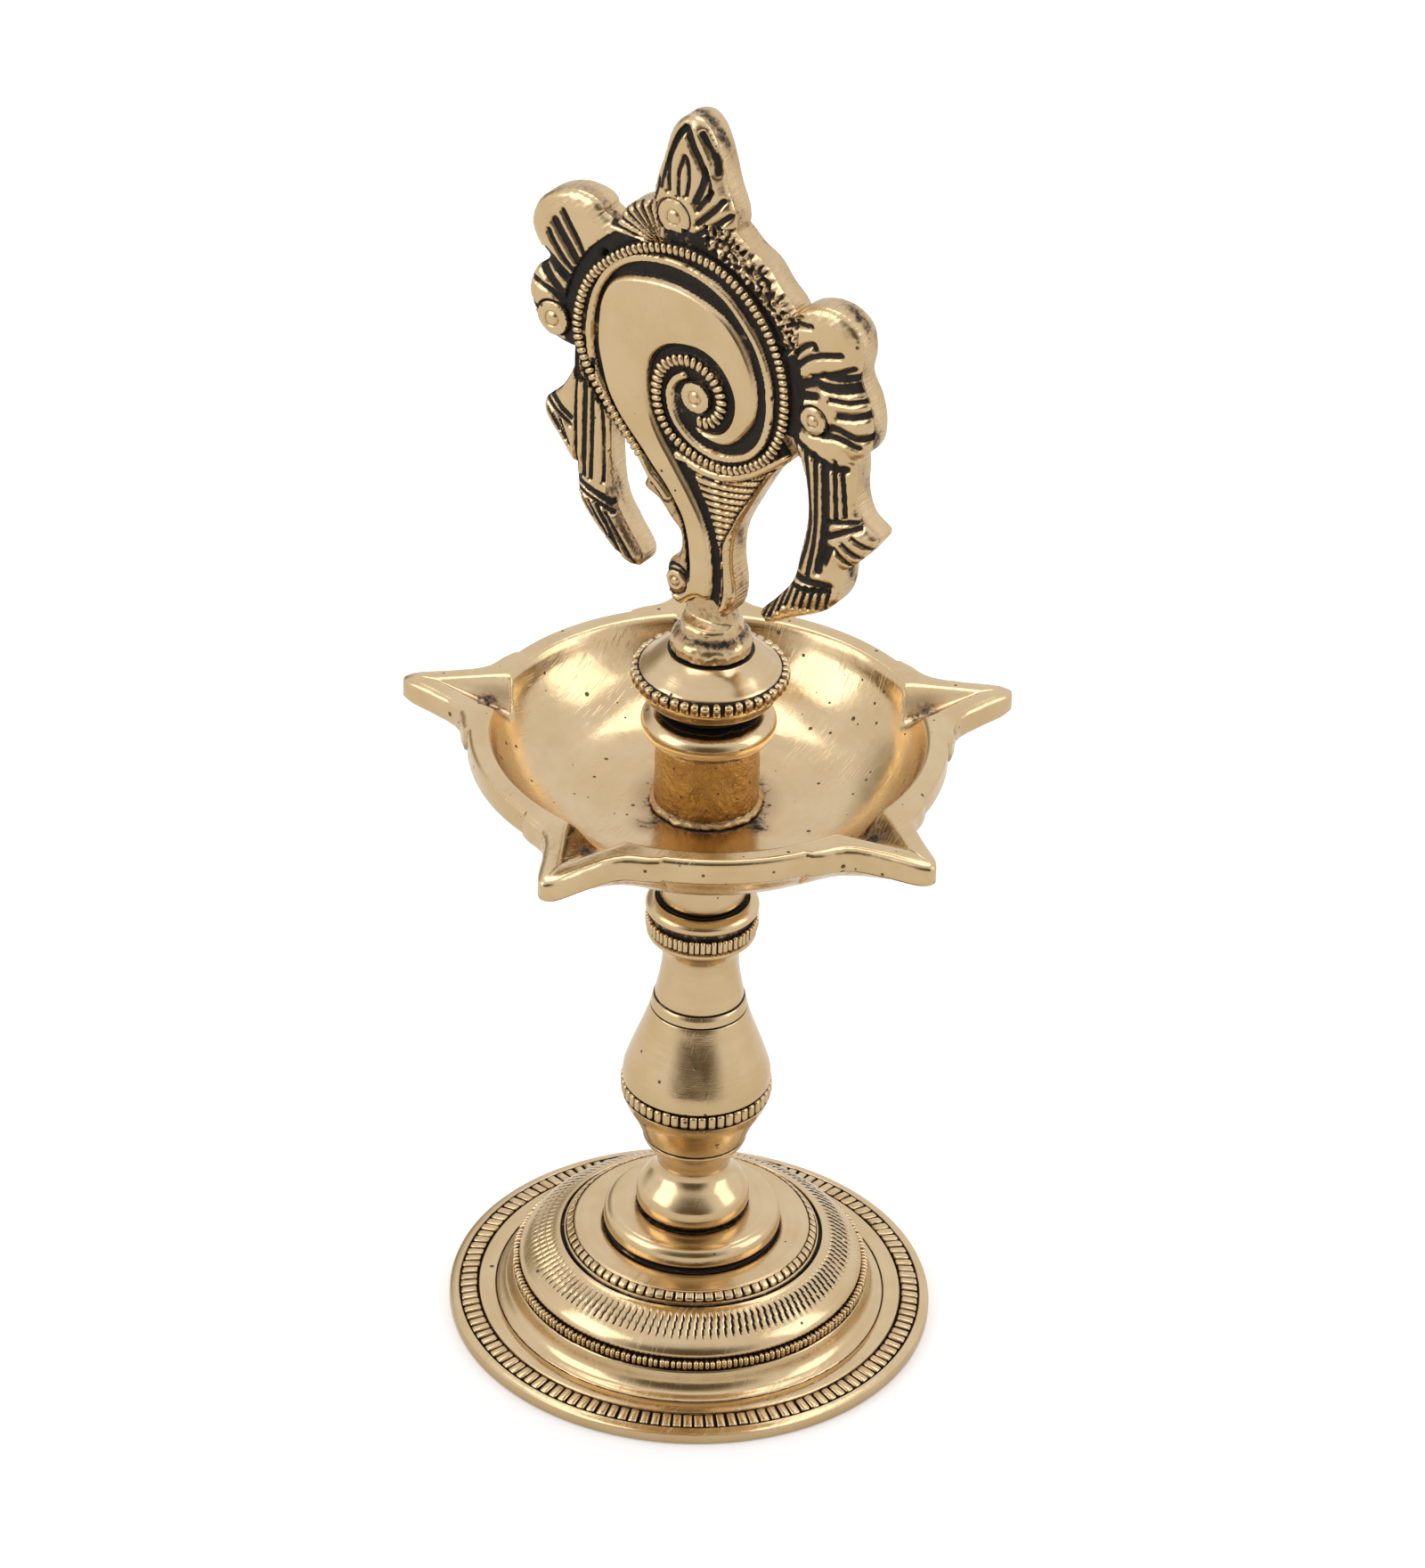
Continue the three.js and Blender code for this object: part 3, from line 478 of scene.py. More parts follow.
# ---------------------------------------------------------------------------
# Vase: the baluster of the stem, turned from a casting, with a row of square
# beads at the belly, two cut lines over it, and a beaded collar for the dish.
# ---------------------------------------------------------------------------
vase_low, vase_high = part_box("vase")
z0, z1 = vase_low.z / MM, vase_high.z / MM
belly, collar = z0 + 8.4, z1 - 6.6
vase = turned("vase_baluster", [
    (0, z0 + 12.2, 1), (rod_hole, z0 + 12.2, 1), (rod_hole, z0, 1), (7.7, z0, 1), (7.85, z0 + 0.1, 0.6),
] + flowing([(7.9, z0 + 0.3), (8.35, z0 + 1.6), (9.2, z0 + 3.4), (10.2, z0 + 5.2), (10.75, z0 + 6.5),
             (10.95, z0 + 7.1)], 3) + [
    (10.9, z0 + 7.2, 0.7), (10.35, z0 + 7.35, 1), (10.3, belly, 1), (10.25, z0 + 9.6, 1),
    (10.75, z0 + 9.78, 0.8), (10.95, z0 + 9.9, 0.3),
] + flowing([(10.96, z0 + 10.1), (10.8, z0 + 11.6), (10.1, z0 + 13.8), (9.1, z0 + 16.6),
             (8.0, z0 + 19.6), (7.3, z0 + 21.8), (7.12, z0 + 22.3)], 4) + [
    (7.05, z0 + 22.36, 0.8), (6.78, z0 + 22.46, 1), (6.98, z0 + 22.58, 0.7), (7.1, z0 + 22.7),
    (6.94, z0 + 23.4), (6.78, z0 + 24.15), (6.66, z0 + 24.26, 0.8), (6.42, z0 + 24.36, 1),
    (6.5, z0 + 24.48, 0.7), (6.56, z0 + 24.6),
] + flowing([(6.5, z0 + 24.9), (6.05, z0 + 27.2), (5.72, z0 + 29.4), (5.62, z0 + 31.0),
             (5.8, z0 + 32.6), (6.4, collar - 0.9), (7.2, collar - 0.15), (7.6, collar + 0.05)], 4) + [
    (7.85, collar + 0.3), (8.0, collar + 0.6), (7.95, collar + 0.95), (7.7, collar + 1.1, 0.5),
    (7.45, collar + 1.25, 1), (7.4, collar + 2.4, 1), (7.45, collar + 3.6, 1), (7.65, collar + 3.8, 1),
    (7.6, collar + 4.1, 0.8),
] + flowing([(7.75, collar + 4.3, 0.3), (8.15, collar + 4.7), (8.3, collar + 5.2),
             (8.12, collar + 5.8), (7.7, collar + 6.2), (7.2, z1 - 0.12)], 3) + [
    (6.95, z1 - 0.1, 0.3), (6.7, z1 - 0.35, 1), (6.3, z1 - 0.35, 1), (6.2, z1 - 0.05, 1),
    (3.9, z1, 1), (3.9, z1 - 10.2, 1), (0, z1 - 10.2, 1)], 160)
vase_beads = ring_of_lumps("vase_bead_ring", 50, 10.62, z0 + 8.5, (1.15, 1.22, 2.05), 0.42, 0, 0.05, 0.75)
collar_beads = ring_of_lumps("collar_bead_ring", 60, 7.72, collar + 2.45, (1.1, 0.76, 2.0), 0.34, 0,
                             0.07, 0.75)
for part in (vase, vase_beads, collar_beads):
    settle(part, "stem", "polished_brass", polished, *(["vase"] if part is vase else []))


# ---------------------------------------------------------------------------
# Dish rod: the threaded rod between the vase's collar and the dish's boss.
# ---------------------------------------------------------------------------
dish_rod = threaded("dish_rod_thread", "dish_rod", 3.6)
settle(dish_rod, "dish_lift", "rod_brass", threaded_brass, "dish_rod")


# ---------------------------------------------------------------------------
# Wick dish: a cast bowl with five pointed spouts, filed and polished. A groove
# in each spout holds a wick. It is turned first, then drawn out at the spouts.
# ---------------------------------------------------------------------------
SPOUTS = [radians(a) for a in (52, 125, 198, 275, 348)]
DISH_STEPS = 720
dish_low, dish_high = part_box("wick_dish")
z0, rim = dish_low.z / MM, dish_high.z / MM
floor_z = rim - 12.0
rim_out = 34.4
under = flowing([(6.4, z0 + 8.2), (6.75, z0 + 10.0), (8.6, z0 + 11.4), (12.5, z0 + 12.05), (19.0, z0 + 13.0),
                 (25.5, z0 + 16.6), (30.6, z0 + 20.4), (33.4, rim - 4.4)], 5)
dish_profile = [(3.9, z0, 1), (6.0, z0, 1), (6.3, z0 + 0.15, 0.8), (6.4, z0 + 0.5)] + under + [
    (33.9, rim - 4.05, 0.3), (34.25, rim - 3.75), (34.4, rim - 3.3), (34.4, rim - 2.2), (34.4, rim - 1.2),
    (34.38, rim - 0.7), (34.25, rim - 0.35), (34.0, rim - 0.1)]
dish_profile += [(r, rim) for r in np.linspace(33.7, 31.9, 12)]
dish_profile += [(31.6, rim - 0.08), (31.35, rim - 0.3), (31.1, rim - 0.7)]
dish_profile += flowing([(30.9, rim - 1.2), (29.8, rim - 3.7), (27.6, rim - 6.8), (24.6, rim - 9.3),
                         (20.6, rim - 11.1), (15.8, rim - 11.9), (12.6, floor_z)], 5)
dish_profile += [(11.4, floor_z, 0.2), (10.2, floor_z, 0.34), (9.3, floor_z, 0.45), (8.5, floor_z, 0.6),
                 (7.9, floor_z, 1), (3.9, floor_z, 1), (3.9, z0, 1)]
dish = turned("dish_bowl", dish_profile, DISH_STEPS)
at = read_points(dish)
out = np.hypot(at[:, 0], at[:, 1])
angle = np.arctan2(at[:, 1], at[:, 0])
# Columns of points are gathered towards each spout, where the shape changes most
edges = sorted(SPOUTS)
spout = np.array(edges)[np.abs((angle[:, None] - np.array(edges) + pi) % (2 * pi) - pi).argmin(axis=1)]
off = (angle - spout + pi) % (2 * pi) - pi
# Neighbouring spouts stand 72 to 77 degrees apart, so each side has its own half gap
gaps_right = {a: ((b - a) % (2 * pi)) / 2 for a, b in zip(edges, edges[1:] + edges[:1])}
gaps_left = {b: ((b - a) % (2 * pi)) / 2 for a, b in zip(edges, edges[1:] + edges[:1])}
half = np.where(off >= 0, [gaps_right[s] for s in spout], [gaps_left[s] for s in spout])
outer = np.clip((out - 24) / 7, 0, 1)
gathered = np.sign(off) * half * (np.abs(off) / half) ** 1.45
off = off * (1 - outer) + gathered * outer
reach = np.array([(46.0, 0), (45.85, 0.55), (45.3, 1.15), (44.4, 1.75), (41, 3.2), (38, 4.6), (36.4, 5.6),
                  (35.3, 6.7), (34.6, 8.0), (34.0, 9.6), (33.0, 11.2)])
reach_angle = np.arctan2(reach[:, 1], reach[:, 0])
reach_out = np.hypot(reach[:, 0], reach[:, 1])
rim_at = np.interp(np.abs(off), reach_angle, reach_out, right=rim_out)
rim_at = np.maximum(rim_at, rim_out)
# The rim's flat top is drawn out to the spout's outline, and the bowl's underside follows in a slope
stretch = np.where(out > 31.4, (out - 31.4) / (rim_out - 31.4), 0)
bowl_wall = np.interp(out, [24, 28, 31, 34.5], [rim - 9.5, rim - 6.2, rim - 3.4, rim])
under_side = (at[:, 2] < rim - 3.2) & (out > 27) & (at[:, 2] < bowl_wall)
stretch = np.where(under_side, np.clip((out - 28.5) / (rim_out - 28.5), 0, 1) ** 1.3, stretch)
new_out = out + stretch * (rim_at - rim_out)
at[:, 0] = new_out * np.cos(spout + off)
at[:, 1] = new_out * np.sin(spout + off)
along, aside = new_out * np.cos(off), np.abs(new_out * np.sin(off))
# The wick groove: wide and deep where it opens into the bowl, and running out before the tip
half_width = np.interp(along, [26, 30.5, 33, 36, 39, 41], [6.0, 5.6, 4.6, 3.0, 1.4, 0.2])
groove_floor = np.interp(along, [26, 30, 33, 36, 41], [5.4, 4.0, 2.9, 1.8, 0.1])
groove = rim - groove_floor * (0.5 + 0.5 * np.cos(pi * np.clip(aside / half_width, 0, 1)))
is_top = (at[:, 2] > groove) & (new_out > 26.5) & (at[:, 2] > rim - 5.2)
line_under = np.interp(out, [24, 28, 31, 33.9, 34.4],
                       [rim - 9.5, rim - 6.2, rim - 3.0, rim - 0.3, rim - 0.05])
is_top &= at[:, 2] > line_under - 0.35
black = read_black(dish)
patch_dark = np.clip(1.3 - np.abs(along - 33.0) / 3.4, 0, 1) * np.clip(1.3 - 1.6 * aside / half_width, 0, 1)
black = np.where(is_top, np.maximum(black, 0.68 * patch_dark), black)
at[is_top, 2] = groove[is_top]
move_points(dish, at)
floor_zone = (at[:, 2] < floor_z + 0.6) & (out < 16) & (at[:, 2] > floor_z - 0.6)
blotch = np.exp(-((at[:, 0] + 3.0) ** 2 + (at[:, 1] + 10.0) ** 2) / 10) + np.exp(
    -((at[:, 0] - 9.5) ** 2 + (at[:, 1] + 1.5) ** 2) / 8)
black = np.where(floor_zone, np.maximum(black, 0.62 * np.clip(blotch, 0, 1)), black)
blacken(dish, black)
dish_metal = brass("polished dish brass", YELLOW, DEEP, 0.17, 0.35, 0.8, 0.8, cells=430, spread=0.46)
settle(dish, "dish", "polished_brass", dish_metal, "wick_dish")


# ---------------------------------------------------------------------------
# Sleeve: a tube of rougher, redder cast brass, soldered upright on the floor of
# the bowl. A lumpy bead of solder shows round its lower end.
# ---------------------------------------------------------------------------
cast_metal = brass("rough cast brass", (0.60, 0.38, 0.14), (0.42, 0.23, 0.07), 0.3, 0.3, 0.5, 0.8,
                   cells=800, spread=0.55, lumpy=2.4)
sleeve_low, sleeve_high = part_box("sleeve")
z0, z1 = sleeve_low.z / MM, sleeve_high.z / MM
tube_heights = np.linspace(z0 + 0.1, z1 - 0.4, 24)
sleeve = turned("sleeve_tube", [(2.9, z0, 1), (7.6, z0, 1)]
                + [(7.62, z, 0.26 + 0.3 * np.exp(-(z - z0) / 1.2)) for z in tube_heights]
                + [(7.5, z1 - 0.1, 0.6), (7.2, z1, 1), (2.9, z1, 1), (2.9, z0, 1)], 120)


def roughened(piece, amount, size, lowest=0.0):
    """Pushes the outer points in and out a little, as a sand casting leaves them."""
    at = read_points(piece)
    out = np.maximum(np.hypot(at[:, 0], at[:, 1]), 0.1)
    angle = np.arctan2(at[:, 1], at[:, 0])
    wave = sum(np.sin(k * angle + p + at[:, 2] * q / size) for k, p, q in (
        (5, 1.1, 2.0), (9, 2.3, -3.1), (14, 0.4, 4.3), (23, 5.2, -6.7), (31, 3.3, 8.1))) / 5
    on = out > lowest
    at[on, :2] *= (1 - amount * (0.5 + 0.5 * wave[on]) / out[on])[:, None]
    move_points(piece, at)


roughened(sleeve, 0.22, 2.5, 5.0)
solder = turned("solder_bead", flowing([(7.3, z0 - 0.2, 0.7), (8.35, z0 - 0.2, 0.75), (8.5, z0 + 0.15, 0.3),
                                        (8.2, z0 + 0.55, 0.3), (7.7, z0 + 0.75, 0.4), (7.3, z0 + 0.8, 0.5),
                                        (7.3, z0 - 0.2, 0.7)], 3), 140)
roughened(solder, 0.55, 1.6, 7.6)
solder_metal = brass("solder", (0.52, 0.38, 0.2), (0.36, 0.25, 0.13), 0.3, 0.0, 0.2, 0.4, cells=900,
                     spread=0.55, lumpy=0.8)
settle(sleeve, "dish", "cast_brass", cast_metal, "sleeve")
settle(solder, "dish", "cast_brass", solder_metal)


# ---------------------------------------------------------------------------
# Finial ring and finial rod: a polished ring on the sleeve, and the threaded
# rod that runs from the plaque's neck down into the sleeve.
# ---------------------------------------------------------------------------
ring_low, ring_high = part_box("finial_ring")
z0, z1 = ring_low.z / MM, ring_high.z / MM
ring = turned("finial_ring_turned", [(2.9, z0, 1), (7.4, z0, 0.8)] + flowing([
    (8.0, z0 + 0.15, 0.2), (9.2, z0 + 0.8), (9.72, z0 + 1.8), (9.72, z0 + 2.7), (9.3, z0 + 3.5),
    (8.5, z0 + 4.1), (7.8, z1 - 0.2, 0.3)], 4) + [(7.2, z1 - 0.1, 1), (6.0, z1, 1), (2.9, z1, 1),
                                                  (2.9, z0, 1)], 120)
settle(ring, "finial_lift", "polished_brass", polished, "finial_ring")
finial_rod = threaded("finial_rod_thread", "finial_rod", 2.6)
settle(finial_rod, "finial_lift", "rod_brass", threaded_brass, "finial_rod")


# ---------------------------------------------------------------------------
# Finial disc: a turned disc with a row of oval beads and a brushed, coned top.
# ---------------------------------------------------------------------------
disc_low, disc_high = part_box("finial_disc")
z0, z1 = disc_low.z / MM, disc_high.z / MM
disc = turned("finial_disc_turned", [
    (2.9, z0, 1), (6.5, z0, 1), (6.7, z0 + 0.2, 1), (6.7, z0 + 1.6, 1), (6.95, z0 + 2.0, 1),
    (8.6, z0 + 2.1, 0.7), (9.3, z0 + 2.2, 0.2), (9.66, z0 + 2.55), (9.7, z0 + 2.95), (9.6, z0 + 3.4),
    (9.75, z0 + 3.9, 0.2), (10.05, z0 + 4.3, 0.8), (10.4, z0 + 4.6, 1), (10.6, z0 + 5.6, 1),
    (10.45, z0 + 6.5, 1), (10.32, z0 + 6.62, 0.8), (10.22, z0 + 6.55, 0.9), (10.12, z0 + 6.72, 0.2)]
    + flowing([(10.0, z0 + 6.86), (9.2, z0 + 7.5), (8.2, z0 + 8.35), (7.3, z0 + 9.0), (6.5, z1 - 0.15),
               (6.3, z1 - 0.05, 0.3)], 3) + [(6.1, z1, 1), (2.9, z1, 1), (2.9, z0, 1)], 160)
disc_beads = ring_of_lumps("disc_bead_ring", 43, 10.66, z0 + 5.62, (1.42, 1.25, 1.95), 0.45, 0, 0.08, 0.5)
for part in (disc, disc_beads):
    settle(part, "finial", "antiqued_brass", antiqued, *(["finial_disc"] if part is disc else []))


# ---------------------------------------------------------------------------
# Conch plaque: a flat sand casting of a conch in a roped ring, with a flame over
# it, and tied ribbons that hang at both sides. The lines are chased in and black
# is left in them. Its outline is the CAD plate's; the relief is a height above it.
# ---------------------------------------------------------------------------
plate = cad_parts["conch_plaque"]
RING_X, BACK_Y, FRONT_Y, RELIEF, CELL = -5.0, 2.2, -2.2, 1.2, 0.2


def plate_edges(piece):
    """The edges round the plate's flat back, in mm, as pairs of x, z points."""
    at = np.array([piece.matrix_world @ v.co for v in piece.data.vertices]) / MM
    count = {}
    for face in piece.data.polygons:
        corners = [tuple(np.round(at[i], 3)) for i in face.vertices]
        if all(abs(c[1] - BACK_Y) < 0.02 for c in corners):
            for a, b in zip(corners, corners[1:] + corners[:1]):
                key = tuple(sorted([(a[0], a[2]), (b[0], b[2])]))
                count[key] = count.get(key, 0) + 1
    return np.array([key for key, n in count.items() if n == 1])


def to_segments(where, starts, ends):
    """Least distance from points to a set of segments, and where along the set it falls."""
    best = np.full(len(where), 1e9)
    along = np.zeros(len(where))
    run = 0.0
    for a, b in zip(starts, ends):
        line = b - a
        length = max(np.hypot(*line), 1e-9)
        near = (np.abs(where - (a + b) / 2).max(axis=1) < best.clip(0, 9) + length)
        part = where[near] - a
        t = np.clip(part @ line / length ** 2, 0, 1)
        gap = np.hypot(*(part - t[:, None] * line).T)
        better = gap < best[near]
        index = np.flatnonzero(near)[better]
        best[index] = gap[better]
        along[index] = run + t[better] * length
        run += length
    return best, along


def inside_edges(where, edges):
    """Which points are inside a closed set of edges: a ray from them crosses an odd number."""
    inside = np.zeros(len(where), bool)
    x, z = where.T
    for (x1, z1), (x2, z2) in edges:
        if z1 == z2:
            continue
        crosses = (z1 > z) != (z2 > z)
        inside ^= crosses & (x < (x2 - x1) * (z - z1) / (z2 - z1) + x1)
    return inside


def within(where, outline):
    """Which points are inside a closed outline."""
    return inside_edges(where, zip(outline, np.roll(outline, -1, axis=0)))


def soft(value, low, high):
    """Rises from 0 to 1 between two values, with soft ends."""
    t = np.clip((value - low) / (high - low), 0, 1)
    return t * t * (3 - 2 * t)


edges = plate_edges(plate)
xs = np.arange(edges[:, :, 0].min() - 1, edges[:, :, 0].max() + 1, CELL)
zs = np.arange(119.4, edges[:, :, 1].max() + 1, CELL)
grid = np.stack(np.meshgrid(xs, zs, indexing="ij"), axis=-1).reshape(-1, 2)
wide, tall = len(xs), len(zs)
rim_gap, _ = to_segments(grid, edges[:, 0], edges[:, 1])
rim_gap[~inside_edges(grid, edges)] *= -1
field = rim_gap.reshape(wide, tall)
slope = np.stack(np.gradient(field, CELL), axis=-1).reshape(-1, 2)
slope /= np.maximum(np.hypot(*slope.T), 0.3)[:, None]
kept = field > -0.32 * CELL
cells = kept[:-1, :-1] & kept[1:, :-1] & kept[1:, 1:] & kept[:-1, 1:]
i, j = np.nonzero(cells)
corner = i * tall + j
quads = np.column_stack([corner, corner + tall, corner + tall + 1, corner + 1])
used = np.unique(quads)
renumber = np.full(len(grid), -1)
renumber[used] = np.arange(len(used))
quads = renumber[quads]
# Points on the mesh's border are slid along the slope onto the plate's outline
pairs = np.sort(np.vstack([quads[:, [0, 1]], quads[:, [1, 2]], quads[:, [2, 3]], quads[:, [3, 0]]]), axis=1)
directed = np.vstack([quads[:, [0, 1]], quads[:, [1, 2]], quads[:, [2, 3]], quads[:, [3, 0]]])
_, first, seen = np.unique(pairs, axis=0, return_index=True, return_counts=True)
border = directed[first[seen == 1]]
on_border = np.unique(border)
flat = grid[used].copy()
flat[on_border] -= slope[used][on_border] * rim_gap[used][on_border, None]
inner = np.clip(rim_gap[used], 0, None)
inner[on_border] = 0
lean = slope[used]
# u runs across from the ring's middle, v is the height above the floor
place = flat - [RING_X, 0]
u, v = place.T
ring_gap = np.hypot(u, v - 160.9)

height = 0.30 + 0.42 * soft(inner, 0.2, 2.6)
black = np.zeros(len(u))


def trail(points, each=5):
    """A smooth line on the plate, as rows of u and v."""
    return np.array([p[:2] for p in flowing(points, each)])


def gap_to(points, each=5):
    """Distance of every point of the plate from a smooth line, and where along it."""
    line = trail(points, each)
    return to_segments(place, line[:-1], line[1:])


def chase(points, width=0.28, deep=0.42, ink=1.0):
    """A line cut with a chasing tool, with its black."""
    gap, _ = gap_to(points)
    cut = 1 - soft(gap, width * 0.35, width * 2.6)
    height[:] = height - deep * cut
    black[:] = np.maximum(black, ink * (1 - soft(gap, width * 0.7, width * 1.9)))


def boss(x, z, size, top=1.0):
    """A round boss with a chased ring and a dimple."""
    gap = np.hypot(u - x, v - z)
    dome = top - 0.35 * (gap / size) ** 2 - 0.22 * np.exp(-((gap - size * 0.42) / 0.2) ** 2)
    dome -= 0.15 * np.exp(-(gap / 0.22) ** 2)
    on = gap < size
    height[:] = np.where(on, dome, height)
    black[:] = np.where(on, 0.5 * np.exp(-((gap - size * 0.42) / 0.16) ** 2), black)
    edge = np.exp(-((gap - size - 0.15) / 0.22) ** 2)
    height[:] -= np.where(on, 0, 0.4 * edge)
    black[:] = np.maximum(black, edge * 0.95)


# The sunk ground inside the rope, and the plate round it
in_ring = ring_gap < 17.6
height[in_ring] = 0.12
black[in_ring] = 0.95
lower = (v < 147) & (u > -12) & (u < 17) & (ring_gap > 13)
height[lower] = 0.30 + 0.25 * soft(inner[lower], 0.1, 1.2)
black[lower] = np.maximum(black[lower], 0.35)

ROPE = [(3.5, 152.6), (5.5, 153), (6.8, 154.5), (7.3, 156.3), (7, 158), (5.8, 159.8), (4, 161),
        (1.5, 161.5), (-1, 160.7), (-2.8, 159), (-3.6, 156.5), (-3.6, 154), (-2.9, 151.5),
        (-1.5, 149.4), (0.5, 148), (3, 147), (6, 146.4), (9, 146.6), (12, 148), (14.5, 150),
        (16.2, 152.5), (17.4, 156), (17.7, 160), (17.2, 164), (15.8, 168), (13.4, 171.8),
        (10.2, 175), (6.4, 177.2), (2.5, 178), (-1, 178), (-5, 177.2), (-8.5, 175.6), (-11.8, 173),
        (-14.6, 170), (-16.4, 166.5), (-17.2, 163), (-17.3, 160), (-16.6, 157.4), (-15.2, 154.5),
        (-13.4, 152), (-11.3, 149.5), (-9, 147), (-7, 144.8), (-6.2, 143.8)]
BAND = [(-1.5, 138.5), (-3, 140), (-4.8, 141.5), (-6.5, 144.2), (-8.6, 146.4), (-10.6, 148.8),
        (-12.6, 151.6), (-14, 154), (-15, 157), (-15.4, 160.5), (-15.1, 164), (-14.2, 167.5),
        (-12.3, 171), (-9.8, 173.4), (-6.5, 175), (-2.5, 175.7), (1.5, 175.5), (5, 174.5),
        (8, 172.8), (10.8, 170), (13, 167), (14.6, 163), (15.1, 159), (14.9, 155.5), (13.8, 152.2),
        (11.8, 149.8), (9, 148.4), (6, 148), (3.3, 148.6), (1.2, 149.8), (-0.5, 151.6),
        (-1.4, 153.8), (-1.5, 156), (-0.6, 157.8), (0.6, 158.8)]
SHELL = [(-13.8, 162), (-13.4, 166), (-12, 169.2), (-9.6, 171), (-6, 172), (-2, 172.4), (1, 172.2),
         (4, 171.4), (7, 170.2), (9.2, 168.3), (11, 165.8), (12.4, 162.6), (13, 159.5),
         (12.8, 156.5), (11.8, 154), (10.3, 151.8), (8.6, 150.5), (6.8, 150.1), (4.8, 150.4),
         (3.0, 151.2), (5.2, 151.3), (7.2, 152), (8.7, 153.8), (9.4, 156.2), (9.2, 158.6), (8, 161),
         (6.2, 162.8), (3.8, 163.8), (1, 163.7), (-1.8, 162.8), (-4, 160.8), (-5.1, 158.2),
         (-5.3, 155.2), (-4.7, 152.2), (-3.8, 149.8), (-2.4, 147.4), (-0.6, 145), (1, 142.8),
         (3, 140), (4.6, 137.3), (5.6, 134.5), (6.3, 131), (6.4, 127), (6.2, 124.5), (5, 122.9),
         (3, 122), (0.8, 122.2), (-0.8, 123.4), (-1.3, 125.2), (-0.9, 127), (0.2, 127.9),
         (1.5, 127.6), (2.6, 126.4), (2.8, 128.5), (2.6, 131), (2.2, 133.6), (1.4, 136.2),
         (0, 138.5), (-1.8, 140.8), (-4, 143), (-6, 145.2), (-8.4, 147.6), (-10.4, 150),
         (-12, 152.8), (-13, 156), (-13.7, 159), (-13.8, 162)]
rope_gap, _ = gap_to(ROPE)
rope_bed = rope_gap < 0.95
height[:] = np.where(rope_bed, np.maximum(height, 0.45 - 0.25 * (rope_gap / 0.95) ** 2), height)
black[:] = np.where(rope_bed, 0.8, black)
just_out = (rope_gap < 1.5) & ~rope_bed
height[just_out & ~in_ring] = np.minimum(height[just_out & ~in_ring], 0.2)
black[just_out] = 0.9
band_gap, _ = gap_to(BAND)
on_band = band_gap < 0.78
height[:] = np.where(on_band, 0.78 - 0.5 * soft(band_gap, 0.36, 0.74), height)
black[:] = np.where(on_band, soft(band_gap, 0.5, 0.74), black)

# The ribbed cone under the rope, then the shell with its tail on top of it
cone = np.array([(2.6, 145.6), (4.4, 141.5), (5.6, 139), (6.6, 136), (7.3, 133.4), (8.6, 134),
                 (9.6, 136.5), (11, 139.5), (12.6, 142.5), (15.2, 147.6), (8, 145.4)])
in_cone = within(place, cone)
sag = v - 0.12 * (u - 7) - 0.022 * (u - 7.5) ** 2
rib = np.abs(((sag / 1.02) % 1) - 0.5) * 2
height[:] = np.where(in_cone, 0.70 - 0.45 * soft(rib, 0.45, 1.0), height)
black[:] = np.where(in_cone, soft(rib, 0.55, 0.9), black)
for strip, size in (([(0, 145.8), (4, 144.8), (8, 145), (12, 146.8), (16, 149.8), (19.5, 152.5)], 0.6),
                    ([(15.8, 147.6), (13.4, 143.2), (11.4, 139.8), (10.0, 136.6), (8.9, 133.8), (9.1, 130.5),
                      (9.3, 127), (8.9, 124), (7.6, 121.8)], 0.85)):
    gap, _ = gap_to(strip)
    on = gap < size + 0.15
    height[:] = np.where(on, 0.72 - 0.4 * soft(gap, size * 0.55, size + 0.15), height)
    black[:] = np.where(on, soft(gap, size * 0.75, size + 0.15), black)
dark_gap, _ = gap_to([(1.2, 144.6), (3.6, 141.4), (5.4, 138), (6.6, 134.4), (7.2, 131), (7.3, 127),
                      (6.9, 124), (5.6, 122)])
on = dark_gap < 0.75
height[on] = 0.15
black[on] = 1
shell_line = trail(SHELL, 4)
shell_gap, _ = to_segments(place, shell_line[:-1], shell_line[1:])
in_shell = within(place, shell_line)
shell_depth = np.where(in_shell, shell_gap, -shell_gap)
near_shell = shell_depth > -0.55
height[:] = np.where(near_shell, 0.12 + 0.86 * np.clip(soft(shell_depth, -0.42, 0.5), 0, 1), height)
black[:] = np.where(near_shell, 1 - soft(shell_depth, -0.2, 0.05), black)
boss(2.8, 156, 2.4, 0.95)
boss(0.5, 125.6, 1.75, 1.0)

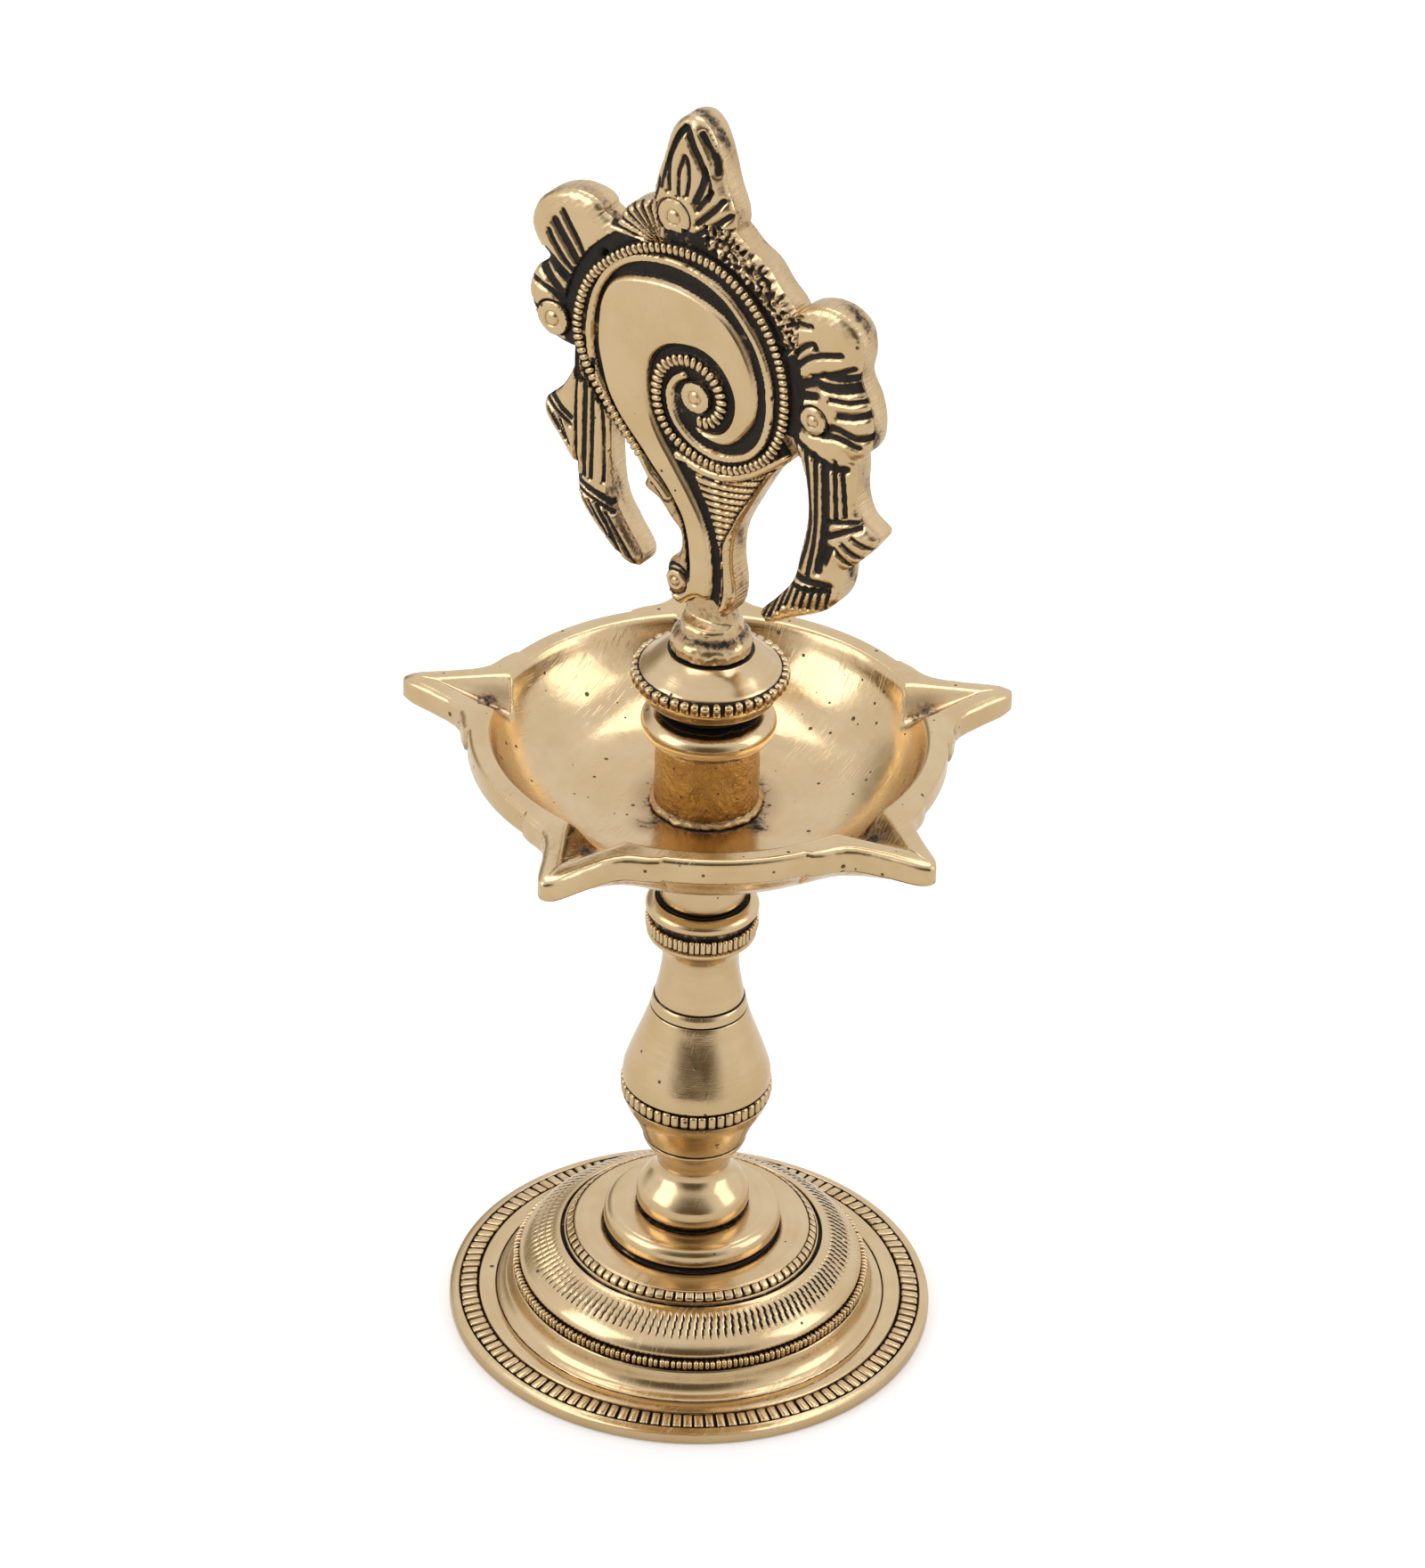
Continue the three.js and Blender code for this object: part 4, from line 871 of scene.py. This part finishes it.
# The flame and the bosses of the plate's top
flame_boss = (-1.6, 183)
petals = (v > 180) & (u > -7) & (u < 9.5)
height[petals] = 0.42 + 0.5 * soft(inner[petals], 0.1, 1.6)
for line, width in (
        ([(-3.8, 187), (-3.2, 190), (-2.5, 193), (-1.3, 195.8), (-0.3, 197.2)], 0.24),
        ([(0.3, 197.2), (1.3, 194.8), (2.3, 193.2), (3.3, 191), (3, 189), (1.9, 186.5)], 0.42),
        ([(-0.2, 196.9), (-1.3, 195), (-2.4, 192), (-2.6, 189.5), (-2.5, 187)], 0.27),
        ([(-0.9, 186.6), (-1, 188), (-0.9, 190.5), (0, 192.8), (0.6, 191.5), (0.7, 189), (0.4, 187)], 0.25),
        ([(2.6, 197), (3.6, 195.5), (4.8, 193.5), (5.2, 191.6)], 0.3),
        ([(2.4, 185.5), (3.5, 187.2), (4.6, 188.8)], 0.3), ([(2.4, 183.3), (5, 186), (6.3, 187.8)], 0.32),
        ([(2.5, 181.6), (5.5, 184), (7.4, 185.8)], 0.3), ([(-5.2, 184.6), (-4.6, 186), (-4.4, 188)], 0.25),
        ([(3.4, 192), (4.2, 189.8), (4.0, 187.6)], 0.25)):
    chase(line, width)
boss(*flame_boss, 2.6, 1.0)
beside_rope = (v > 168) | (np.abs(u) > 12) & (v > 152)
dark_over = (ring_gap > 18.3) & (ring_gap < 20.0 + 0.8 * (u > 0)) & beside_rope
height[dark_over] = np.minimum(height[dark_over], 0.2)
black[dark_over] = np.maximum(black[dark_over], 0.9)
fan = (u < -3.5) & (u > -12.5) & (v > 177.5) & (v < 184.5) & (np.hypot(u + 1.6, v - 183) > 3)
spoke = np.arctan2(v - 177.6, u + 3.6)
ridge = np.abs(((spoke * 4.6) % 1) - 0.5) * 2
height[fan] = 0.55 - 0.4 * soft(ridge[fan], 0.4, 0.95)
black[fan] = np.maximum(soft(ridge[fan], 0.5, 0.9), 0.2)
cloud = (u > 3.5) & (u < 19.5) & (v > 168) & (v < 184) & (ring_gap > 19.2) & (inner > 0)
lumps = np.zeros(len(u))
for k in range(26):
    heading, pitch = dice.uniform(0, 2 * pi), dice.uniform(2.0, 7.5)
    lumps += np.sin((u * cos(heading) + v * sin(heading)) * pitch + dice.uniform(0, 6)) / 4.2
height[cloud] = 0.42 + 0.24 * lumps[cloud] + 0.15 * soft(inner[cloud], 0, 2)
black[cloud] = np.clip(0.45 - 0.55 * lumps[cloud], 0, 1)

# The tied ornaments at both sides: fanned lobes over a boss
for line, width in (
        ([(-16.2, 171), (-17.5, 173.8), (-19, 176), (-20.2, 177.8)], 0.3),
        ([(-17, 169.8), (-19, 172.4), (-20.6, 174.4), (-21.6, 175.8)], 0.5),
        ([(-18, 168.6), (-20, 170.4), (-21.8, 172.6), (-22.6, 174)], 0.3),
        ([(-19.5, 167.8), (-21.5, 169.2), (-23.3, 170.6)], 0.32),
        ([(-17.6, 166.4), (-20, 168), (-22.8, 169.4), (-24.6, 169.4)], 0.6),
        ([(-19.5, 164), (-22, 166.5), (-23.8, 168)], 0.55),
        ([(-19, 162.4), (-22, 164.6), (-25.2, 165.4)], 0.32),
        ([(-24.3, 160.8), (-25.8, 161.6)], 0.3), ([(-18.6, 157.2), (-21, 156.8), (-24, 157.4)], 0.35),
        ([(17.6, 172.5), (19.5, 173.2), (21.5, 173.6)], 0.28),
        ([(19.2, 168.8), (20.5, 170.2), (22, 171), (22.4, 170.4)], 0.3),
        ([(19.6, 167), (21, 168.4), (23, 169.6), (26.6, 170.8)], 0.3),
        ([(22, 166), (24.5, 167), (27, 168.4), (28.5, 169.2)], 0.28),
        ([(24, 166.8), (26.5, 167.2), (29, 168)], 0.42),
        ([(20.2, 164.2), (22, 165), (25.6, 165.3), (29.6, 166.6)], 0.6),
        ([(20.3, 162.5), (22.6, 163.2)], 0.5),
        ([(26.6, 161.4), (29, 162), (32, 163.3)], 0.42),
        ([(24.6, 158.4), (26, 159.2), (29.5, 158.8), (31.8, 159.6)], 0.4),
        ([(24, 157.4), (26.5, 157.9), (29.8, 157.4)], 0.36), ([(25, 163.4), (28, 163.9), (31, 165)], 0.28),
        ([(19.6, 155.2), (22.5, 153.8), (25.5, 152.9), (28, 153.3)], 0.4)):
    chase(line, width)
boss(-21.7, 160.3, 2.6, 0.95)
boss(22.4, 159.2, 2.1, 0.95)

# The ribbons: stripes down their length, two cross lines, and a fringe
for line, width in (
        ([(-17.5, 156), (-17.4, 146), (-17.2, 137)], 0.2), ([(-15.9, 156), (-15.9, 146), (-15.9, 137)], 0.3),
        ([(-14.6, 156), (-14.6, 146), (-14.6, 137)], 0.26), ([(-13.2, 152), (-12.9, 145), (-12.6, 137)], 0.2),
        ([(-17.6, 136), (-14, 135), (-11.2, 134)], 0.36),
        ([(-17.4, 134.6), (-14, 133.7), (-10.8, 132.6)], 0.26),
        ([(-16.5, 133.4), (-14.5, 130.7)], 0.22), ([(-15, 133), (-12, 128.6)], 0.26),
        ([(-13.5, 132.9), (-9.5, 126.4)], 0.28), ([(-12, 132), (-7, 125.6)], 0.24),
        ([(-22.2, 148), (-18.3, 145.6)], 0.34), ([(-22.7, 147), (-18.3, 144.4)], 0.24),
        ([(-18.9, 155), (-19.6, 151.5), (-21, 149)], 0.24), ([(-22.4, 145.6), (-20.6, 142.6)], 0.2),
        ([(-21.2, 144.9), (-19.4, 141.6)], 0.2), ([(-20, 144.4), (-18.6, 141)], 0.2),
        ([(21.2, 154.5), (21.8, 148), (22.2, 143), (21.8, 139), (20.8, 135)], 0.3),
        ([(23, 154), (23.3, 146), (23.2, 140), (22.4, 134.5)], 0.3),
        ([(24.6, 153), (25, 146), (24.9, 141), (24.2, 136)], 0.5),
        ([(26.2, 154), (26.5, 149), (26.8, 145)], 0.28),
        ([(27.4, 153), (27.8, 149), (28.2, 146)], 0.26), ([(19.7, 133.5), (23, 133.6), (26, 134)], 0.4),
        ([(19.5, 131.8), (22, 132), (25.6, 133)], 0.28), ([(25.8, 142), (28, 143.4), (30.5, 144.8)], 0.34),
        ([(25.6, 144.2), (27.6, 144.9), (30, 145.5)], 0.26), ([(25.2, 137.6), (26, 140)], 0.4),
        ([(28, 141.5), (30.5, 140)], 0.24), ([(29.5, 143), (32, 142)], 0.24),
        ([(26.8, 140.3), (29, 138.4)], 0.24)):
    chase(line, width)
for step in range(9):
    x = 15.6 + step * 1.25
    top = 131.2 + step * 0.25 if x > 18.6 else 128.2 + (x - 15.6) * 0.9
    chase([(x + 0.5, top), (x, top - 1.8), (x - 0.5, max(top - 3.6, 124.2))], 0.2)

height = np.clip(height, 0.02, 1.0)
fine_wave = sum(np.sin(u * a + v * b + c) for a, b, c in (
    (3.3, 2.1, 0.3), (-2.7, 4.4, 2.2), (6.1, -5.3, 4.0))) / 3
height += 0.025 * fine_wave * ~in_shell
edge_round = 0.85 * (1 - np.sqrt(np.clip(1 - (1 - np.clip(inner / 1.1, 0, 1)) ** 2, 0, 1)))
front = FRONT_Y - RELIEF * height + edge_round + 0.02
sheets = [np.column_stack([flat[:, 0], front, flat[:, 1]])]
blacks = [black]
# The sides are drawn back from the border in steps, and the back's edge is filed round
faces = [tuple(q) for q in quads]
seat_of = np.full(len(flat), -1)
seat_of[on_border] = np.arange(len(on_border))
last = on_border
start = len(flat)
for depth, inset in ((FRONT_Y + 0.5, 0.0), (-0.3, 0.0), (1.2, 0.0), (1.75, 0.12), (BACK_Y - 0.1, 0.35),
                     (BACK_Y, 0.7)):
    ring_points = np.column_stack([flat[on_border, 0] + lean[on_border, 0] * inset,
                                   np.full(len(on_border), depth),
                                   flat[on_border, 1] + lean[on_border, 1] * inset])
    sheets.append(ring_points)
    across = flat[on_border, 0] * 0.9 + flat[on_border, 1] * 1.1
    patches = np.sin(across * 0.71 + depth) + np.sin(across * 0.29 + 1.3 * depth + 2)
    near_front = 0.16 * (depth < 0)
    blacks.append(np.clip(0.14 + near_front + 0.13 * patches, 0, 0.8))
    current = start + np.arange(len(on_border))
    for a, b in border:
        a0, b0 = last[seat_of[a]], last[seat_of[b]]
        a1, b1 = current[seat_of[a]], current[seat_of[b]]
        faces.append((b0, a0, a1, b1))
    last, start = current, start + len(on_border)
relief_mesh = bpy.data.meshes.new("conch_relief")
relief_mesh.from_pydata(np.vstack(sheets) * MM, [], faces)
relief = bpy.data.objects.new("conch_relief", relief_mesh)
bpy.context.collection.objects.link(relief)
back_edge = {tuple(sorted((int(last[seat_of[a]]), int(last[seat_of[b]])))) for a, b in border}
blacken(relief, np.concatenate(blacks))
filed = np.zeros(len(relief_mesh.vertices), np.float32)
filed[len(flat):] = 1
relief_mesh.attributes.new("filed", "FLOAT", "POINT").data.foreach_set("value", filed)
only(relief)
bpy.ops.object.mode_set(mode="EDIT")
bpy.ops.mesh.select_all(action="DESELECT")
bpy.ops.object.mode_set(mode="OBJECT")
for edge in relief.data.edges:
    edge.select = tuple(sorted(edge.vertices)) in back_edge
bpy.ops.object.mode_set(mode="EDIT")
bpy.ops.mesh.select_mode(type="EDGE")
bpy.ops.mesh.fill(use_beauty=True)
bpy.ops.object.mode_set(mode="OBJECT")
face_outwards(relief)
bpy.ops.object.shade_smooth_by_angle(angle=radians(45))


def stamped(name, frames):
    """One small pillow-shaped lump, copied to each place: middle, along, across and out vectors."""
    bpy.ops.object.select_all(action="DESELECT")
    bpy.ops.mesh.primitive_ico_sphere_add(subdivisions=2, radius=1)
    piece = bpy.context.active_object
    piece.name = piece.data.name = name
    base = np.array([v.co for v in piece.data.vertices])
    base = np.sign(base) * np.abs(base) ** 0.8
    tris = np.array([tuple(f.vertices) for f in piece.data.polygons])
    points = [m + base[:, :1] * a + base[:, 1:2] * c + base[:, 2:] * o for m, a, c, o in frames]
    rings = [tuple(row) for k in range(len(frames)) for row in tris + k * len(base)]
    piece.data.clear_geometry()
    piece.data.from_pydata(np.vstack(points) * MM, [], rings)
    low = np.tile(np.clip(0.75 - base[:, 2] * 1.3 + 0.5 * np.abs(base[:, 0]), 0, 1) * 0.75, len(frames))
    face_outwards(piece)
    bpy.ops.object.shade_smooth()
    blacken(piece, low)
    return piece


rope_line = trail(ROPE, 12)
steps = np.hypot(*np.diff(rope_line, axis=0).T)
run = np.concatenate([[0], np.cumsum(steps)])
frames = []
LUMP_PITCH = 1.03
for s in np.arange(0.3, run[-1] - 0.3, LUMP_PITCH):
    x, z = (np.interp(s, run, rope_line[:, c]) for c in (0, 1))
    ahead = np.array([np.interp(s + 0.3, run, rope_line[:, c]) for c in (0, 1)]) - [x, z]
    ahead /= np.hypot(*ahead)
    broad = np.interp(s, [0, 22, 30, 200], [0.95, 0.95, 0.8, 0.8]) * (1 + dice.uniform(-0.06, 0.06))
    half_length = 0.47 * (1 + dice.uniform(-0.12, 0.08))
    frames.append((np.array([x + RING_X, FRONT_Y - 0.72, z]),
                   np.array([ahead[0], 0, ahead[1]]) * half_length,
                   np.array([-ahead[1], 0, ahead[0]]) * broad,
                   np.array([0, -0.46, 0])))
rope = stamped("conch_rope", frames)
plaque_metal = brass("chased brass", YELLOW, DEEP, 0.2, 0.0, 0.9, 0.05, spread=0.6, lumpy=0.06)
neck_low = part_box("conch_plaque")[0].z / MM
SOCKET = 4.5
neck_outside = flowing([
    (6.0, neck_low + 0.5, 0.1), (6.02, neck_low + 1.5), (5.7, neck_low + 2.3, 0.3),
    (4.9, neck_low + 3.0, 0.6), (4.6, neck_low + 3.8, 0.25), (4.55, neck_low + 5.2, 0.2),
    (4.4, neck_low + 6.2, 0.3), (4.2, neck_low + 9.4, 0.3)], 4)
neck = turned("plaque_neck", [(2.9, neck_low, 1), (5.8, neck_low, 0.9), (6.0, neck_low + 0.25, 0.4)]
              + neck_outside + [(0, neck_low + 9.5, 0.3), (0, neck_low + SOCKET, 1),
                                (2.9, neck_low + SOCKET, 1), (2.9, neck_low, 1)], 96)
roughened(neck, 0.35, 2.2, 4.2)
# Over its socket the neck is flattened front to back, and runs up inside the plate
at = read_points(neck)
flattened = soft(at[:, 2], neck_low + 4.6, neck_low + 5.3) * (np.hypot(at[:, 0], at[:, 1]) > 3.2)
at[:, 1] *= 1 - 0.5 * flattened
move_points(neck, at)
for part in (relief, rope, neck):
    settle(part, "finial", "antiqued_brass", plaque_metal, *(["conch_plaque"] if part is relief else []))


# ---------------------------------------------------------------------------
# Floor, light and camera: a pale floor, large soft lights, and a long lens.
# ---------------------------------------------------------------------------
bpy.ops.object.select_all(action="DESELECT")
bpy.ops.mesh.primitive_plane_add(size=6, location=(0, 0, 0))
floor = bpy.context.active_object
floor.name = "floor"
pale = bpy.data.materials.new("pale floor")
pale.use_nodes = True
shader = pale.node_tree.nodes["Principled BSDF"]
shader.inputs["Roughness"].default_value = 0.9
shader.inputs["Emission Color"].default_value = (1, 1, 1, 1)
shader.inputs["Emission Strength"].default_value = 0.12
# The floor is a little greyer in the metal's reflections than to the eye
seen = node(pale.node_tree, "LightPath").outputs["Is Camera Ray"]
two_tone = blend(pale.node_tree, seen, (0.64, 0.61, 0.56, 1), (0.93, 0.92, 0.92, 1))
pale.node_tree.links.new(two_tone, shader.inputs["Base Color"])
floor.data.materials.append(pale)

AZIMUTH, ELEVATION, DISTANCE = radians(33.73), radians(32.79), 1.0234
view_from = Vector((sin(AZIMUTH) * cos(ELEVATION), -cos(AZIMUTH) * cos(ELEVATION), sin(ELEVATION)))
right_hand = Vector((cos(AZIMUTH), sin(AZIMUTH), 0))
upward = view_from.cross(right_hand)
aim = Vector((0, 0, 0.090)) + right_hand * 0.000862 + upward * 0.001535
lens = bpy.data.cameras.new("camera")
lens.lens = 163.6
lens.sensor_width = 36
lens.clip_start = 0.05
camera = bpy.data.objects.new("camera", lens)
bpy.context.collection.objects.link(camera)
roll = Matrix.Rotation(radians(1.993), 3, view_from)
axes = Matrix((roll @ right_hand, roll @ upward, view_from)).transposed()
camera.matrix_world = Matrix.Translation(aim + view_from * DISTANCE) @ axes.to_4x4()
bpy.context.scene.camera = camera


def softbox(name, place, size, power, colour=(1, 1, 1)):
    """A square area light at a place, turned to the middle of the lamp."""
    light = bpy.data.lights.new(name, "AREA")
    light.shape = "RECTANGLE"
    light.size, light.size_y = size
    light.energy = power
    light.color = colour
    box = bpy.data.objects.new(name, light)
    bpy.context.collection.objects.link(box)
    toward = Vector((0, 0, 0.09)) - Vector(place)
    box.matrix_world = Matrix.Translation(place) @ toward.to_track_quat("-Z", "Y").to_matrix().to_4x4()


def studio(sideways, back, up):
    """A place in the studio, from the lamp: to the camera's right, away from it, and up."""
    away = Vector((-sin(AZIMUTH), cos(AZIMUTH), 0))
    return right_hand * sideways + away * back + Vector((0, 0, up))


softbox("left softbox", studio(-1.3, -0.5, 0.9), (1.0, 1.2), 6)
softbox("right softbox", studio(1.4, -0.2, 0.8), (0.8, 1.2), 4)
softbox("top softbox", studio(0.0, 0.5, 1.7), (1.4, 1.0), 7)

world = bpy.data.worlds.new("studio")
bpy.context.scene.world = world
world.use_nodes = True
tree = world.node_tree
backdrop = tree.nodes["Background"]
direction = node(tree, "TexCoord").outputs["Generated"]
bright, olive, grey = (1.0, 1.0, 1.02, 1), (0.15, 0.12, 0.08, 1), (0.42, 0.38, 0.3, 1)
sky = bright
for toward, near, full, colour in (
        (studio(0, -1, 0.22), 0.62, 0.97, olive), (studio(-0.6, 0.85, 0.12), 0.86, 0.99, grey)):
    facing = node(tree, "VectorMath", {0: direction, 1: toward.normalized()},
                  operation="DOT_PRODUCT").outputs["Value"]
    sky = blend(tree, fit(tree, facing, near, full), sky, colour)
# The darker zones are for the metal to reflect; the eye sees an even white
sky = blend(tree, node(tree, "LightPath").outputs["Is Camera Ray"], sky, bright)
tree.links.new(sky, backdrop.inputs["Color"])
backdrop.inputs["Strength"].default_value = 0.95
bpy.context.scene.view_settings.view_transform = "Standard"
bpy.context.scene.view_settings.look = "None"
